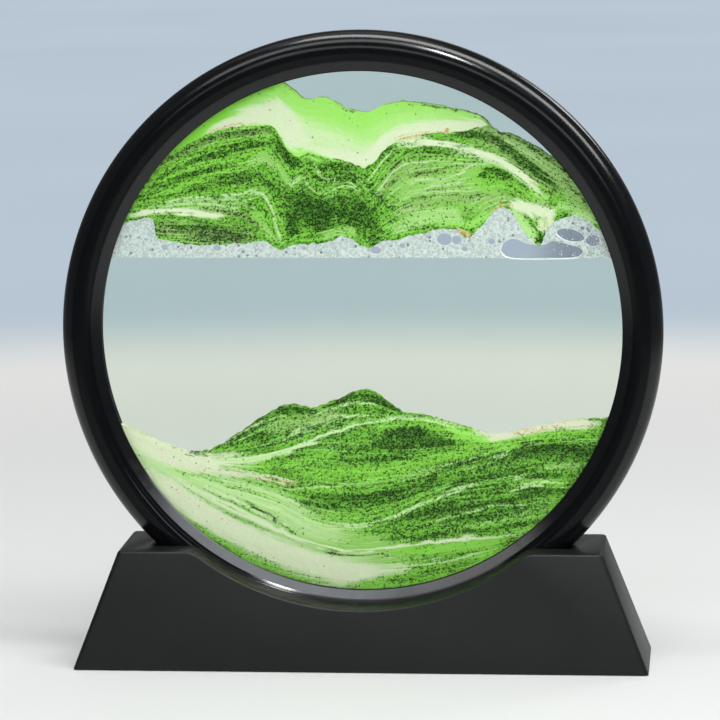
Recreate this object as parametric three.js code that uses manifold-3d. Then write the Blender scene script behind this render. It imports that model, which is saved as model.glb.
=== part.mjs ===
// Moving sand art frame: a round glass cell of liquid, sand and air, held in a two-part ring
// that stands and turns in the slot of a hollow base. Millimetres, +Z up, the front faces -Y.
// The origin is under the middle of the base, on the surface that the feet stand on.

import * as THREE from "three";
import { mergeVertices } from "three/addons/utils/BufferGeometryUtils.js";
import Module from "manifold-3d";

const wasm = await Module();
wasm.setup();

// Ring: outer size, and the face of each bezel from the opening out to the rim
const RING_R = 90;
const LIP_THICKNESS = 0.8; // in front of the pane, at the opening
const BEVEL_WIDTH = 3; // sloping face round the opening
const BEVEL_DEPTH = 1;
const BEAD_STEP = 0.4; // small step where the bevel meets the bead
const BEAD_RISE = 1.7; // from that step to the bead's crest
const BEAD_WIDTH = 6; // from the bead's crest to the rim
const CROWN_HALF_WIDTH = 1.2; // flat band on the rim at each side of the seam

// Bezel inside, from the rim inwards: a cored-out channel with pegs, and the pocket for the cell
const RIM_WALL = 2.6;
const CHANNEL_WIDTH = 3.8;
const FACE_WALL = 2.5; // between the channel and the bead's crest
const POCKET_WALL = 1.3;
const POCKET_GAP = 0.3; // between the bezel and the pane's edge
const PANE_OVERLAP = 4.1; // how far the front bezel covers the pane
const REAR_OPENING = 0.7; // how much larger the rear bezel's opening is, in radius
const BOSS_ROOT = 0.6; // how far a boss or peg is rooted in the wall that carries it
const PEG_COUNT = 8;
const PEG_BOSS_R = 1.7;
const PEG_R = 1;
const PEG_LENGTH = 2.4; // how far a rear peg stands past the seam
const PEG_GAP = 0.3;

// Glass cell
const PANE_THICKNESS = 1.5;
const SEAL_THICKNESS = 0.5;
const SPACER_THICKNESS = 1.6;
const SPACER_WIDTH = 3.1;
const SPACER_INSET = 0.3; // from the pane's edge
const SEAL_INSET = 0.3; // from each edge of the spacer
const FILL_GAP = 0.3; // between the spacer and the contents

// Filling port, at the bottom of the ring: screw, washer and bush from the rim inwards
const SCREW_RECESS = 1.4; // from the rim to the screw's head
const SCREW_HEAD_R = 2.5;
const SCREW_HEAD_HEIGHT = 1.8;
const SCREW_HEAD_GAP = 0.3;
const SCREW_SLOT_WIDTH = 0.8;
const SCREW_SLOT_DEPTH = 0.8;
const SCREW_SHANK_R = 1.4;
const SCREW_BORE_GAP = 0.3;
const SCREW_TIP_GAP = 0.4; // left under the screw's tip, at the foot of its bore
const WASHER_THICKNESS = 0.6;
const BUSH_WALL = 1.3; // round the screw's bore
const BUSH_FLOOR = 0.7; // under the screw's bore
const BUSH_GAP = 0.3; // round the bush, and between it and the pane's edge
const PORT_BOSS_WALL = 1.2;
const NOZZLE_GAP = 0.3; // between the nozzle and the panes, the spacer and the seals
const NOZZLE_WALL = 0.5;

// Base: a hollow shell, tapered on all four sides, with a saddle for the ring and a slot behind it
const BASE_BOTTOM_LENGTH = 172;
const BASE_TOP_LENGTH = 144.6;
const BASE_BOTTOM_DEPTH = 40.2;
const BASE_TOP_DEPTH = 34.2;
const BASE_TOP_Z = 35.7;
const BASE_CORNER_R = 1.4;
const BASE_TOP_CHAMFER = 0.6;
const BASE_WALL = 2.4;
const SLOT_GAP = 0.3; // between the ring and the slot, all round
const TROUGH_WALL = 2; // round the slot
const TROUGH_TO_COVER = 5.4; // free height under the slot's lowest point
const SADDLE_REVEAL = 3.4; // how far the saddle's edge lies outside the ring's opening
const SHOULDER_R = 7; // rounding where the saddle runs out into the top face

// Bottom cover with its screws and feet
const FOOT_PROUD = 0.3;
const FOOT_R = 5;
const FOOT_RECESS = 0.8; // how deep a foot sits in the cover
const FOOT_GAP = 0.3;
const FOOT_INSET = 3; // from the cover's edge
const COVER_THICKNESS = 2;
const COVER_GAP = 0.3;
const BOSS_R = 3.2;
const COVER_SCREW_R = 1.2;
const COVER_SCREW_GAP = 0.3;
const COVER_SCREW_LENGTH = 9;
const COVER_SCREW_HEAD_R = 2.6;
const COVER_SCREW_HEAD_HEIGHT = 1.1;
const CROSS_WIDTH = 0.7; // driver's cross in the head
const CROSS_DEPTH = 0.6;
const CROSS_INSET = 0.9; // from the head's edge
const SCREW_TO_FOOT = 4; // between a screw's head and a foot
const SCREW_INSET = 3.4; // between a screw's head and the cover's edge

// Contents: the sand's edges are drawn from the ring's centre, x to the right and z up,
// on a picture of DRAWN_R, and follow the size of the cell
const DRAWN_R = 78.3;
const LAYER_GAP = 0.3;
const FAR = 130; // drawn distance well outside the cell
const SAMPLES_PER_POINT = 2;

const DUNE_TOP = [
  [-78, -26.5], [-72, -28.8], [-66, -31.5], [-60, -34.2], [-54, -36.3], [-48, -36.6], [-42, -34],
  [-34, -28.5], [-28, -24.6], [-22, -22.2], [-15, -23.2], [-8, -20.8], [0, -17.8], [5, -19.3],
  [12, -24.2], [20, -25.5], [30, -28.5], [40, -31], [50, -29], [65, -26.4], [78, -26],
];
const PEAK_FOOT = [
  [-60, -26], [-52, -33.5], [-46, -37.5], [-38, -38.2], [-30, -37], [-20, -33],
  [-10, -27.8], [0, -25.6], [8, -25.3], [13, -24.2], [18, -22], [28, -17],
];
const PALE_TOP = [
  [-60, -26], [-50, -35.5], [-42, -40.5], [-32, -44.5], [-22, -51], [-12, -59],
  [-2, -64], [10, -64.5], [25, -62.2], [40, -61], [60, -58],
];
const BANK_TOP = [
  [-30, 82], [-22.5, 75], [-19, 72], [-16, 69.6], [-10, 70], [-4, 67],
  [0, 66], [4, 66.1], [8, 68], [14, 68.8], [24, 67.5], [35, 65], [38, 63], [40.5, 60.3],
  [46, 58.5], [53, 55], [59, 51], [66, 47],
];
const CAP_FOOT = [
  [-70, 45.5], [-58, 52.6], [-50, 57], [-42, 60.3], [-34, 61.6], [-26.5, 61.5],
  [-24, 59], [-21.5, 54.5], [-18.5, 52.4], [-15, 53.6], [-11, 52.4], [-6, 51.6], [-2, 50.4],
  [1, 49.2], [4, 50.4], [7, 54], [10, 56.2], [16, 58], [22, 59.2], [28, 59.5], [34, 60.6],
  [40, 62.5], [50, 68],
];
const BANK_FOOT = [
  [-76, 31.5], [-69, 33], [-64, 34.2], [-62, 33], [-61, 28], [-57, 27.2], [-50, 26.2],
  [-42, 26.2], [-34, 26.6], [-29, 27.4], [-26, 25.6], [-23.5, 24.4], [-21, 25.8], [-15, 26.4],
  [-10, 26.6], [-6, 28.8], [-3, 28], [0, 26], [3, 25.3], [6, 26.8], [12, 28], [20, 30], [26, 31],
  [29, 30.2], [32, 28], [35, 30.5], [39, 35], [43, 37.4], [46, 34.5], [49, 29.5], [52, 26.6],
  [54, 26.5], [56, 31.5], [60, 34], [64, 34.8], [68, 33], [72, 30], [78, 28],
];
const RAFT_FOOT_Z = 22.2;

// Large air bubbles in the raft: centre, then half length and half height
const BUBBLE_CENTRES = [[54, 24.2], [62.4, 29.4], [69.2, 27.2]];
const BUBBLE_HALF_SIZES = [[11, 1.1], [4, 1.6], [2, 1.7]];

// Fineness of the round shapes, and how far a cutter runs past what it cuts
const RING_SEGMENTS = 60;
const BEAD_STEPS = 5;
const SLOPE_STEPS = 3;
const SMALL_SEGMENTS = 12;
const CORNER_STEPS = 3;
const CUT = 1;

// Sizes that follow from the ones above
const cellHalf = SPACER_THICKNESS / 2 + SEAL_THICKNESS; // inner face of each pane
const stackHalf = cellHalf + PANE_THICKNESS; // outer face of each pane
const lipFront = stackHalf + LIP_THICKNESS;
const bevelFront = lipFront + BEVEL_DEPTH;
const slopeFront = bevelFront + BEAD_STEP;
const ringHalfDepth = slopeFront + BEAD_RISE;
const channelOuterR = RING_R - RIM_WALL;
const channelInnerR = channelOuterR - CHANNEL_WIDTH;
const channelDepth = ringHalfDepth - FACE_WALL;
const pegCircleR = (channelInnerR + channelOuterR) / 2;
const pocketR = channelInnerR - POCKET_WALL;
const paneR = pocketR - POCKET_GAP;
const viewR = paneR - PANE_OVERLAP; // clear opening that the picture shows through
const spacerOuterR = paneR - SPACER_INSET;
const spacerInnerR = spacerOuterR - SPACER_WIDTH;
const fillR = spacerInnerR - FILL_GAP;
const headTopR = RING_R - SCREW_RECESS;
const headFootR = headTopR - SCREW_HEAD_HEIGHT;
const bushTopR = headFootR - WASHER_THICKNESS;
const bushFootR = paneR + BUSH_GAP;
const screwBoreR = SCREW_SHANK_R + SCREW_BORE_GAP;
const bushR = screwBoreR + BUSH_WALL;
const nozzleR = cellHalf - NOZZLE_GAP;
const slotR = RING_R + SLOT_GAP;
const slotHalf = ringHalfDepth + SLOT_GAP;
const saddleR = viewR + SADDLE_REVEAL;
const coverTopZ = FOOT_PROUD + COVER_THICKNESS;
const ringCentreZ = coverTopZ + TROUGH_TO_COVER + TROUGH_WALL + slotR;
const [hollowLength, hollowDepth] = baseSize(coverTopZ).map((size) => size - 2 * BASE_WALL);
const coverLength = hollowLength - 2 * COVER_GAP;
const coverDepth = hollowDepth - 2 * COVER_GAP;
const footX = coverLength / 2 - FOOT_INSET - FOOT_R;
const footY = coverDepth / 2 - FOOT_INSET - FOOT_R;
const coverScrewX = footX - FOOT_R - SCREW_TO_FOOT - COVER_SCREW_HEAD_R;
const coverScrewY = coverDepth / 2 - SCREW_INSET - COVER_SCREW_HEAD_R;

const CORNERS = [
  { name: "front_left", x: -1, y: -1 },
  { name: "front_right", x: 1, y: -1 },
  { name: "rear_left", x: -1, y: 1 },
  { name: "rear_right", x: 1, y: 1 },
];

// Materials
const finish = (color, roughness, metalness = 0, opacity = 1) =>
  new THREE.MeshStandardMaterial({ color, roughness, metalness, opacity, transparent: opacity < 1 });
const glossBlack = finish(0x0b0b0c, 0.12);
const matteBlack = finish(0x2a2b2c, 0.55);
const blackRubber = finish(0x161616, 0.85);
const clearGlass = finish(0xe6f0ee, 0.03, 0, 0.2);
const clearSilicone = finish(0xc9cfcd, 0.5);
const brass = finish(0xb08d4a, 0.35, 1);
const steel = finish(0xb9bcc0, 0.3, 1);
const greenSand = finish(0x4f9a2b, 0.9);
const paleSand = finish(0xd3e0b4, 0.9);
const limeSand = finish(0xa6df66, 0.9);
const bubbleFoam = finish(0xdfe6e4, 0.4);
const clearLiquid = finish(0xcfdcdb, 0.03, 0, 0.25);

// A closed geometry as a solid for cutting and joining
function solid(geometry) {
  const bare = geometry.clone();
  bare.deleteAttribute("normal");
  bare.deleteAttribute("uv");
  const merged = mergeVertices(bare, 1e-4);
  return new wasm.Manifold(
    new wasm.Mesh({
      numProp: 3,
      vertProperties: merged.attributes.position.array,
      triVerts: new Uint32Array(merged.index.array),
    }),
  );
}

// A cut or joined solid as a geometry again
function geometryOf(shape) {
  const mesh = shape.getMesh();
  const geometry = new THREE.BufferGeometry();
  geometry.setAttribute("position", new THREE.BufferAttribute(mesh.vertProperties, 3));
  geometry.setIndex(new THREE.BufferAttribute(mesh.triVerts, 1));
  geometry.computeVertexNormals();
  return geometry;
}

function piece(name, shape, material) {
  const mesh = new THREE.Mesh(geometryOf(shape), material);
  mesh.name = name;
  return mesh;
}

// A round bar or disc along Y, between two places on Y
function barY(radius, fromY, toY, segments = RING_SEGMENTS) {
  const bar = new THREE.CylinderGeometry(radius, radius, toY - fromY, segments);
  return solid(bar.translate(0, (fromY + toY) / 2, 0));
}

// A round bar along Z, between two heights
function barZ(radius, fromZ, toZ, segments = SMALL_SEGMENTS) {
  const bar = new THREE.CylinderGeometry(radius, radius, toZ - fromZ, segments);
  return solid(bar.rotateX(Math.PI / 2).translate(0, 0, (fromZ + toZ) / 2));
}

function block(sizeX, sizeY, sizeZ, x, y, z) {
  return solid(new THREE.BoxGeometry(sizeX, sizeY, sizeZ).translate(x, y, z));
}

// A flat ring about Y
function ringY(innerR, outerR, fromY, toY) {
  return barY(outerR, fromY, toY).subtract(barY(innerR, fromY - CUT, toY + CUT));
}

// An outline drawn in x and z, as a plate about the ring's middle plane
function plate(shape, halfDepth) {
  const options = { depth: 2 * halfDepth, bevelEnabled: false, curveSegments: SMALL_SEGMENTS };
  const extruded = new THREE.ExtrudeGeometry(shape, options);
  return solid(extruded.rotateX(Math.PI / 2).translate(0, halfDepth, 0));
}

// One half of the ring: side is -1 for the front bezel and 1 for the rear one
function bezelProfile(side) {
  const crestR = RING_R - BEAD_WIDTH;
  const beadDepth = ringHalfDepth - CROWN_HALF_WIDTH;
  const bevelOuterR = viewR + BEVEL_WIDTH;
  const openingR = side < 0 ? viewR : viewR + REAR_OPENING;
  const slopeWidth = crestR - bevelOuterR;
  const quarter = (i, steps) => (i / steps) * (Math.PI / 2);
  const points = [[RING_R, 0]];
  for (let i = 0; i <= BEAD_STEPS; i++) {
    const turn = quarter(i, BEAD_STEPS);
    points.push([crestR + BEAD_WIDTH * Math.cos(turn), CROWN_HALF_WIDTH + beadDepth * Math.sin(turn)]);
  }
  for (let i = 1; i <= SLOPE_STEPS; i++) {
    const turn = quarter(i, SLOPE_STEPS);
    points.push([crestR - slopeWidth * Math.sin(turn), slopeFront + BEAD_RISE * Math.cos(turn)]);
  }
  points.push(
    [bevelOuterR, bevelFront],
    [openingR, lipFront],
    [openingR, stackHalf],
    [pocketR, stackHalf],
    [pocketR, 0],
    [channelInnerR, 0],
    [channelInnerR, channelDepth],
    [channelOuterR, channelDepth],
    [channelOuterR, 0],
    [RING_R, 0],
  );
  const profile = points.map(([r, y]) => new THREE.Vector2(r, side * y));
  return side < 0 ? profile.reverse() : profile;
}

// The stepped radial hole of the filling port: for the bush, then for the screw's head
function portBore() {
  const bushHole = barZ(bushR + BUSH_GAP, -bushTopR - BUSH_GAP, -bushFootR + CUT);
  const headHole = barZ(SCREW_HEAD_R + SCREW_HEAD_GAP, -RING_R - CUT, -bushTopR);
  return bushHole.add(headHole);
}

function bezel(name, side) {
  let body = solid(new THREE.LatheGeometry(bezelProfile(side), RING_SEGMENTS));
  const rootDepth = channelDepth + BOSS_ROOT;
  const [bossFrom, bossTo] = side < 0 ? [-rootDepth, 0] : [0, rootDepth];
  for (let i = 0; i < PEG_COUNT; i++) {
    const angle = ((i + 0.5) / PEG_COUNT) * 2 * Math.PI;
    const at = [pegCircleR * Math.cos(angle), 0, pegCircleR * Math.sin(angle)];
    const boss = barY(PEG_BOSS_R, bossFrom, bossTo, SMALL_SEGMENTS).translate(at);
    const peg = barY(PEG_R, -PEG_LENGTH, rootDepth, SMALL_SEGMENTS).translate(at);
    const socketR = PEG_R + PEG_GAP;
    const socket = barY(socketR, -PEG_LENGTH - PEG_GAP, CUT, SMALL_SEGMENTS).translate(at);
    body = side < 0 ? body.add(boss).subtract(socket) : body.add(boss).add(peg);
  }
  const bossR = bushR + BUSH_GAP + PORT_BOSS_WALL;
  const portBoss = barZ(bossR, -channelOuterR - BOSS_ROOT, -channelInnerR + BOSS_ROOT);
  const ownHalf = block(4 * bossR, rootDepth, 4 * bossR, 0, (side * rootDepth) / 2, -pegCircleR);
  body = body.add(portBoss.intersect(ownHalf)).subtract(portBore());
  return piece(name, body, glossBlack);
}

// The nozzle's way through the spacer and the seals
function nozzleNotch() {
  const width = 2 * (nozzleR + NOZZLE_GAP);
  return block(width, 4 * cellHalf, 2 * SPACER_WIDTH, 0, 0, -spacerOuterR + SPACER_WIDTH / 2);
}

function glassCell() {
  const half = SPACER_THICKNESS / 2;
  const sealInnerR = spacerInnerR + SEAL_INSET;
  const sealOuterR = spacerOuterR - SEAL_INSET;
  const notch = nozzleNotch();
  const seal = (fromY, toY) => ringY(sealInnerR, sealOuterR, fromY, toY).subtract(notch);
  const spacer = ringY(spacerInnerR, spacerOuterR, -half, half).subtract(notch);
  return [
    piece("front_pane", barY(paneR, -stackHalf, -cellHalf), clearGlass),
    piece("front_seal", seal(-cellHalf, -half), clearSilicone),
    piece("spacer_ring", spacer, matteBlack),
    piece("rear_seal", seal(half, cellHalf), clearSilicone),
    piece("rear_pane", barY(paneR, cellHalf, stackHalf), clearGlass),
  ];
}

// Bush, washer and screw of the filling port, one above the other towards the rim
function fillingPort() {
  const boreFootR = bushFootR + BUSH_FLOOR;
  const bush = barZ(bushR, -bushTopR, -bushFootR)
    .add(barZ(nozzleR, -boreFootR, -spacerInnerR))
    .subtract(barZ(nozzleR - NOZZLE_WALL, -boreFootR - CUT, -spacerInnerR + CUT))
    .subtract(barZ(screwBoreR, -bushTopR - CUT, -boreFootR));
  const washer = barZ(SCREW_HEAD_R, -headFootR, -bushTopR).subtract(
    barZ(screwBoreR, -headFootR - CUT, -bushTopR + CUT),
  );
  const slot = block(4 * SCREW_HEAD_R, SCREW_SLOT_WIDTH, 2 * SCREW_SLOT_DEPTH, 0, 0, -headTopR);
  const screw = barZ(SCREW_HEAD_R, -headTopR, -headFootR)
    .add(barZ(SCREW_SHANK_R, -headTopR, -boreFootR - SCREW_TIP_GAP))
    .subtract(slot);
  return [
    piece("fill_port_bush", bush, brass),
    piece("fill_screw_washer", washer, blackRubber),
    piece("fill_screw", screw, steel),
  ];
}

const drawnScale = fillR / DRAWN_R;

// Everything in the cell below a drawn edge that is lifted by some clearance
function below(edge, lift = 0) {
  const curve = new THREE.SplineCurve(edge.map(([x, z]) => new THREE.Vector2(x, z)));
  const points = curve.getPoints(edge.length * SAMPLES_PER_POINT);
  const [leftZ, rightZ] = [edge[0][1], edge.at(-1)[1]];
  for (const [x, z] of [[FAR, rightZ], [FAR, -FAR], [-FAR, -FAR], [-FAR, leftZ]]) {
    points.push(new THREE.Vector2(x, z));
  }
  const placed = points.map((p) => p.multiplyScalar(drawnScale));
  return plate(new THREE.Shape(placed), cellHalf).translate(0, 0, lift);
}

function airBubble(centre, halfSizes) {
  const shape = new THREE.Shape();
  const drawn = [...centre, ...halfSizes].map((length) => length * drawnScale);
  shape.absellipse(...drawn, 0, 2 * Math.PI);
  return plate(shape, 2 * cellHalf);
}

// Sand, bubbles and liquid, each filling its own part of the cell
function contents() {
  const cell = barY(fillR, -cellHalf, cellHalf);
  const inCell = (name, shape, material) => piece(name, cell.intersect(shape), material);
  const raftFoot = [[-DRAWN_R, RAFT_FOOT_Z], [DRAWN_R, RAFT_FOOT_Z]];
  const dune = below(DUNE_TOP);
  const underPeak = dune.intersect(below(PEAK_FOOT, -LAYER_GAP));
  const bank = below(BANK_TOP);
  const underCap = bank.intersect(below(CAP_FOOT, -LAYER_GAP));
  let raft = below(BANK_FOOT, -LAYER_GAP).subtract(below(raftFoot));
  BUBBLE_CENTRES.forEach((centre, i) => {
    raft = raft.subtract(airBubble(centre, BUBBLE_HALF_SIZES[i]));
  });
  const overDune = below(raftFoot, -LAYER_GAP).subtract(below(DUNE_TOP, LAYER_GAP));
  return [
    inCell("lower_dune_pale_sand", underPeak.intersect(below(PALE_TOP)), paleSand),
    inCell("lower_dune_green_sand", underPeak.subtract(below(PALE_TOP, LAYER_GAP)), greenSand),
    inCell("lower_dune_peak_sand", dune.subtract(below(PEAK_FOOT)), greenSand),
    inCell("lower_liquid", overDune, clearLiquid),
    inCell("bubble_raft", raft, bubbleFoam),
    inCell("upper_bank_green_sand", underCap.subtract(below(BANK_FOOT)), greenSand),
    inCell("upper_bank_lime_sand", bank.subtract(below(CAP_FOOT)), limeSand),
    piece("upper_liquid", cell.subtract(below(BANK_TOP, LAYER_GAP)), clearLiquid),
  ];
}

// A rectangle with round corners, at a height
function roundedRectangle(length, depth, radius, z) {
  const points = [];
  const centres = [[1, 1], [-1, 1], [-1, -1], [1, -1]];
  centres.forEach(([sx, sy], quarter) => {
    for (let i = 0; i <= CORNER_STEPS; i++) {
      const angle = (quarter + i / CORNER_STEPS) * (Math.PI / 2);
      const x = sx * (length / 2 - radius) + radius * Math.cos(angle);
      const y = sy * (depth / 2 - radius) + radius * Math.sin(angle);
      points.push(new THREE.Vector3(x, y, z));
    }
  });
  return points;
}

// A closed skin over outlines of equally many points, from the lowest to the highest
function loft(outlines) {
  const count = outlines[0].length;
  const faces = [];
  for (let level = 0; level + 1 < outlines.length; level++) {
    for (let i = 0; i < count; i++) {
      const a = level * count + i;
      const b = level * count + ((i + 1) % count);
      faces.push(a, b, b + count, a, b + count, a + count);
    }
  }
  const top = (outlines.length - 1) * count;
  for (let i = 1; i + 1 < count; i++) {
    faces.push(0, i + 1, i, top, top + i, top + i + 1);
  }
  const geometry = new THREE.BufferGeometry().setFromPoints(outlines.flat());
  geometry.setIndex(faces);
  return solid(geometry);
}

// The base's outer length and depth at a height
function baseSize(z) {
  const share = (z - FOOT_PROUD) / (BASE_TOP_Z - FOOT_PROUD);
  return [
    THREE.MathUtils.lerp(BASE_BOTTOM_LENGTH, BASE_TOP_LENGTH, share),
    THREE.MathUtils.lerp(BASE_BOTTOM_DEPTH, BASE_TOP_DEPTH, share),
  ];
}

function baseOutline(z, inset, radius) {
  const [length, depth] = baseSize(z);
  return roundedRectangle(length - 2 * inset, depth - 2 * inset, radius, z);
}

// The part of the base above the saddle's arc, with shoulders that round over into the top face
function saddleCut() {
  const drop = ringCentreZ - BASE_TOP_Z + SHOULDER_R;
  const reach = saddleR + SHOULDER_R;
  const shoulderX = Math.sqrt(reach * reach - drop * drop);
  const lean = Math.atan2(drop, shoulderX);
  const shoulderZ = BASE_TOP_Z - SHOULDER_R;
  const above = BASE_TOP_Z + saddleR;
  const shape = new THREE.Shape();
  shape.moveTo(-shoulderX, above);
  shape.lineTo(-shoulderX, BASE_TOP_Z);
  shape.absarc(-shoulderX, shoulderZ, SHOULDER_R, Math.PI / 2, lean, true);
  shape.absarc(0, ringCentreZ, saddleR, Math.PI + lean, 2 * Math.PI - lean, false);
  shape.absarc(shoulderX, shoulderZ, SHOULDER_R, Math.PI - lean, Math.PI / 2, true);
  shape.lineTo(shoulderX, above);
  return plate(shape, BASE_BOTTOM_DEPTH);
}

function baseShell() {
  const atRing = [0, 0, ringCentreZ];
  const chamferZ = BASE_TOP_Z - BASE_TOP_CHAMFER;
  const outer = loft([
    baseOutline(FOOT_PROUD, 0, BASE_CORNER_R),
    baseOutline(chamferZ, 0, BASE_CORNER_R),
    baseOutline(BASE_TOP_Z, BASE_TOP_CHAMFER, BASE_CORNER_R),
  ]);
  const innerR = BASE_CORNER_R / 2;
  const hollowAt = (z) => roundedRectangle(hollowLength, hollowDepth, innerR, z);
  const ceilingZ = BASE_TOP_Z - BASE_WALL;
  const saddleWall = barY(saddleR + BASE_WALL, -BASE_BOTTOM_DEPTH, BASE_BOTTOM_DEPTH).translate(atRing);
  const troughHalf = slotHalf + TROUGH_WALL;
  const trough = barY(slotR + TROUGH_WALL, -troughHalf, troughHalf).translate(atRing);
  let hollow = loft([hollowAt(0), hollowAt(coverTopZ), baseOutline(ceilingZ, BASE_WALL, innerR)])
    .subtract(saddleWall)
    .subtract(trough);
  const pilotTop = coverTopZ + COVER_SCREW_LENGTH;
  const pilots = [];
  for (const corner of CORNERS) {
    const at = [corner.x * coverScrewX, corner.y * coverScrewY, 0];
    hollow = hollow.subtract(barZ(BOSS_R, coverTopZ, BASE_TOP_Z).translate(at));
    pilots.push(barZ(COVER_SCREW_R + COVER_SCREW_GAP, coverTopZ - CUT, pilotTop).translate(at));
  }
  const slot = barY(slotR, -slotHalf, slotHalf).translate(atRing);
  let shell = outer.subtract(hollow).subtract(saddleCut()).subtract(slot);
  for (const pilot of pilots) shell = shell.subtract(pilot);
  return piece("base_shell", shell, matteBlack);
}

// Cover plate, with a recess for each foot and a counterbored hole for each screw
function bottomCover() {
  const cornerR = BASE_CORNER_R / 2;
  let plateBody = loft([
    roundedRectangle(coverLength, coverDepth, cornerR, FOOT_PROUD),
    roundedRectangle(coverLength, coverDepth, cornerR, coverTopZ),
  ]);
  for (const corner of CORNERS) {
    const footAt = [corner.x * footX, corner.y * footY, 0];
    const screwAt = [corner.x * coverScrewX, corner.y * coverScrewY, 0];
    const hole = barZ(COVER_SCREW_R + COVER_SCREW_GAP, 0, coverTopZ + CUT);
    const headTop = FOOT_PROUD + COVER_SCREW_HEAD_HEIGHT + COVER_SCREW_GAP;
    const headHole = barZ(COVER_SCREW_HEAD_R + COVER_SCREW_GAP, 0, headTop);
    plateBody = plateBody
      .subtract(barZ(FOOT_R + FOOT_GAP, 0, FOOT_PROUD + FOOT_RECESS).translate(footAt))
      .subtract(hole.add(headHole).translate(screwAt));
  }
  return piece("bottom_cover", plateBody, matteBlack);
}

function coverScrew(corner) {
  const headFoot = FOOT_PROUD + COVER_SCREW_GAP;
  const headTop = headFoot + COVER_SCREW_HEAD_HEIGHT;
  const arm = 2 * (COVER_SCREW_HEAD_R - CROSS_INSET);
  const cross = block(arm, CROSS_WIDTH, 2 * CROSS_DEPTH, 0, 0, headFoot).add(
    block(CROSS_WIDTH, arm, 2 * CROSS_DEPTH, 0, 0, headFoot),
  );
  const body = barZ(COVER_SCREW_HEAD_R, headFoot, headTop)
    .add(barZ(COVER_SCREW_R, headFoot, headTop + COVER_SCREW_LENGTH))
    .subtract(cross)
    .translate(corner.x * coverScrewX, corner.y * coverScrewY, 0);
  return piece("cover_screw_" + corner.name, body, steel);
}

function foot(corner) {
  const pad = barZ(FOOT_R, 0, FOOT_PROUD + FOOT_RECESS, 2 * SMALL_SEGMENTS);
  return piece("foot_" + corner.name, pad.translate(corner.x * footX, corner.y * footY, 0), blackRubber);
}

const ring = new THREE.Group();
ring.add(bezel("front_bezel", -1), ...glassCell(), ...contents(), ...fillingPort(), bezel("rear_bezel", 1));
ring.position.z = ringCentreZ;

const base = new THREE.Group();
base.add(baseShell(), bottomCover(), ...CORNERS.map(coverScrew), ...CORNERS.map(foot));

const frame = new THREE.Group();
frame.add(base, ring);

export default frame;
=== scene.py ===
"""Dresses the packed sand picture: a liquid cell in a ring that turns in a slotted stand.

The drawn lists are in millimetres from the ring's centre, x to the right and z up.
All other lengths are in metres, in the frame's own axes.
"""

import math

import bmesh
import bpy
import numpy as np
from bpy.props import FloatProperty, FloatVectorProperty, IntProperty, PointerProperty
from bpy.types import Operator, Panel, PropertyGroup
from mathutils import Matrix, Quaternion, Vector


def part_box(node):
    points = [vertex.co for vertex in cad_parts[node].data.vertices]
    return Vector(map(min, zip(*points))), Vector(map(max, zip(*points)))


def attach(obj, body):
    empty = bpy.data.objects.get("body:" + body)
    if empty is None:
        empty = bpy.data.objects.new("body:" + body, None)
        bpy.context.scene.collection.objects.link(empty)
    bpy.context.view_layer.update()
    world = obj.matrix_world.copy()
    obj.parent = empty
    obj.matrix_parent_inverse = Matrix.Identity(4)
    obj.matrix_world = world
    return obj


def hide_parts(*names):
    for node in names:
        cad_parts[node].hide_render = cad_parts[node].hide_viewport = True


bl_info = {
    "name": "Moving sand picture",
    "version": (1, 0, 0),
    "blender": (4, 5, 0),
    "location": "3D View > Sidebar > Sand picture",
    "description": "Builds a liquid sand picture in a turning ring, piece by piece, on its packed frame",
    "category": "Object",
}

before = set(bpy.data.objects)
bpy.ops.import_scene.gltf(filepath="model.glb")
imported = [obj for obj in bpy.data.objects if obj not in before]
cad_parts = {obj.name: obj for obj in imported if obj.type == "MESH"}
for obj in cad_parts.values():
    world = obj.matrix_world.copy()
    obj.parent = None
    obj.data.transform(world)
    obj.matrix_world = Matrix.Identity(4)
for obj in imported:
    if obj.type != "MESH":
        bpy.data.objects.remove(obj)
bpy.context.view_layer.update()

MM = 0.001
bezel_low, bezel_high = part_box("front_bezel")
shell_low, shell_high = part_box("base_shell")
pane_low, pane_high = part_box("front_pane")
RING_Z = (pane_low.z + pane_high.z) / 2
CELL_HALF = -pane_high.y  # from the middle plane to the inner face of a pane

# Clearances, thin walls and cutters
SAND_GAP = 0.00004  # between the sand and a pane
SAND_HOLLOW = 0.00016  # how far the sand's faces sink in at most
FOAM_GAP = 0.00006
FOAM_HOLLOW = 0.0003
LIQUID_PLAY = 0.00002  # how far the liquids draw back from what they touch
AIR_HALF = 0.0001  # half the thickness of the sheet that stands for a bubble's air
THICK_FILM, THIN_FILM = 0.00032, 0.00014  # walls of the large bubbles and of the others
THICK_FILMS = 3  # the long bubble and the first two round ones
OVERSHOOT = 0.002  # how far a cutter or a block reaches past a face

# Where finishes change: radii on the ring, then places along x in the foam
BEVEL_EDGE = 0.0806, 0.0812
BEAD_SLOPE = 0.0835, 0.0860
BEAD_CREST = 0.0863, 0.0869
FOAM_COARSENS = 0.056, 0.064
# Where the painted shade in the large bubbles' air deepens, along x
AIR_SHADE_DEEPENS = 0.048, 0.063

# The cell's radius and the foam's lower edge, in millimetres like the lists that follow
CELL_R = 78.3
RAFT_FOOT = 22.2

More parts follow.
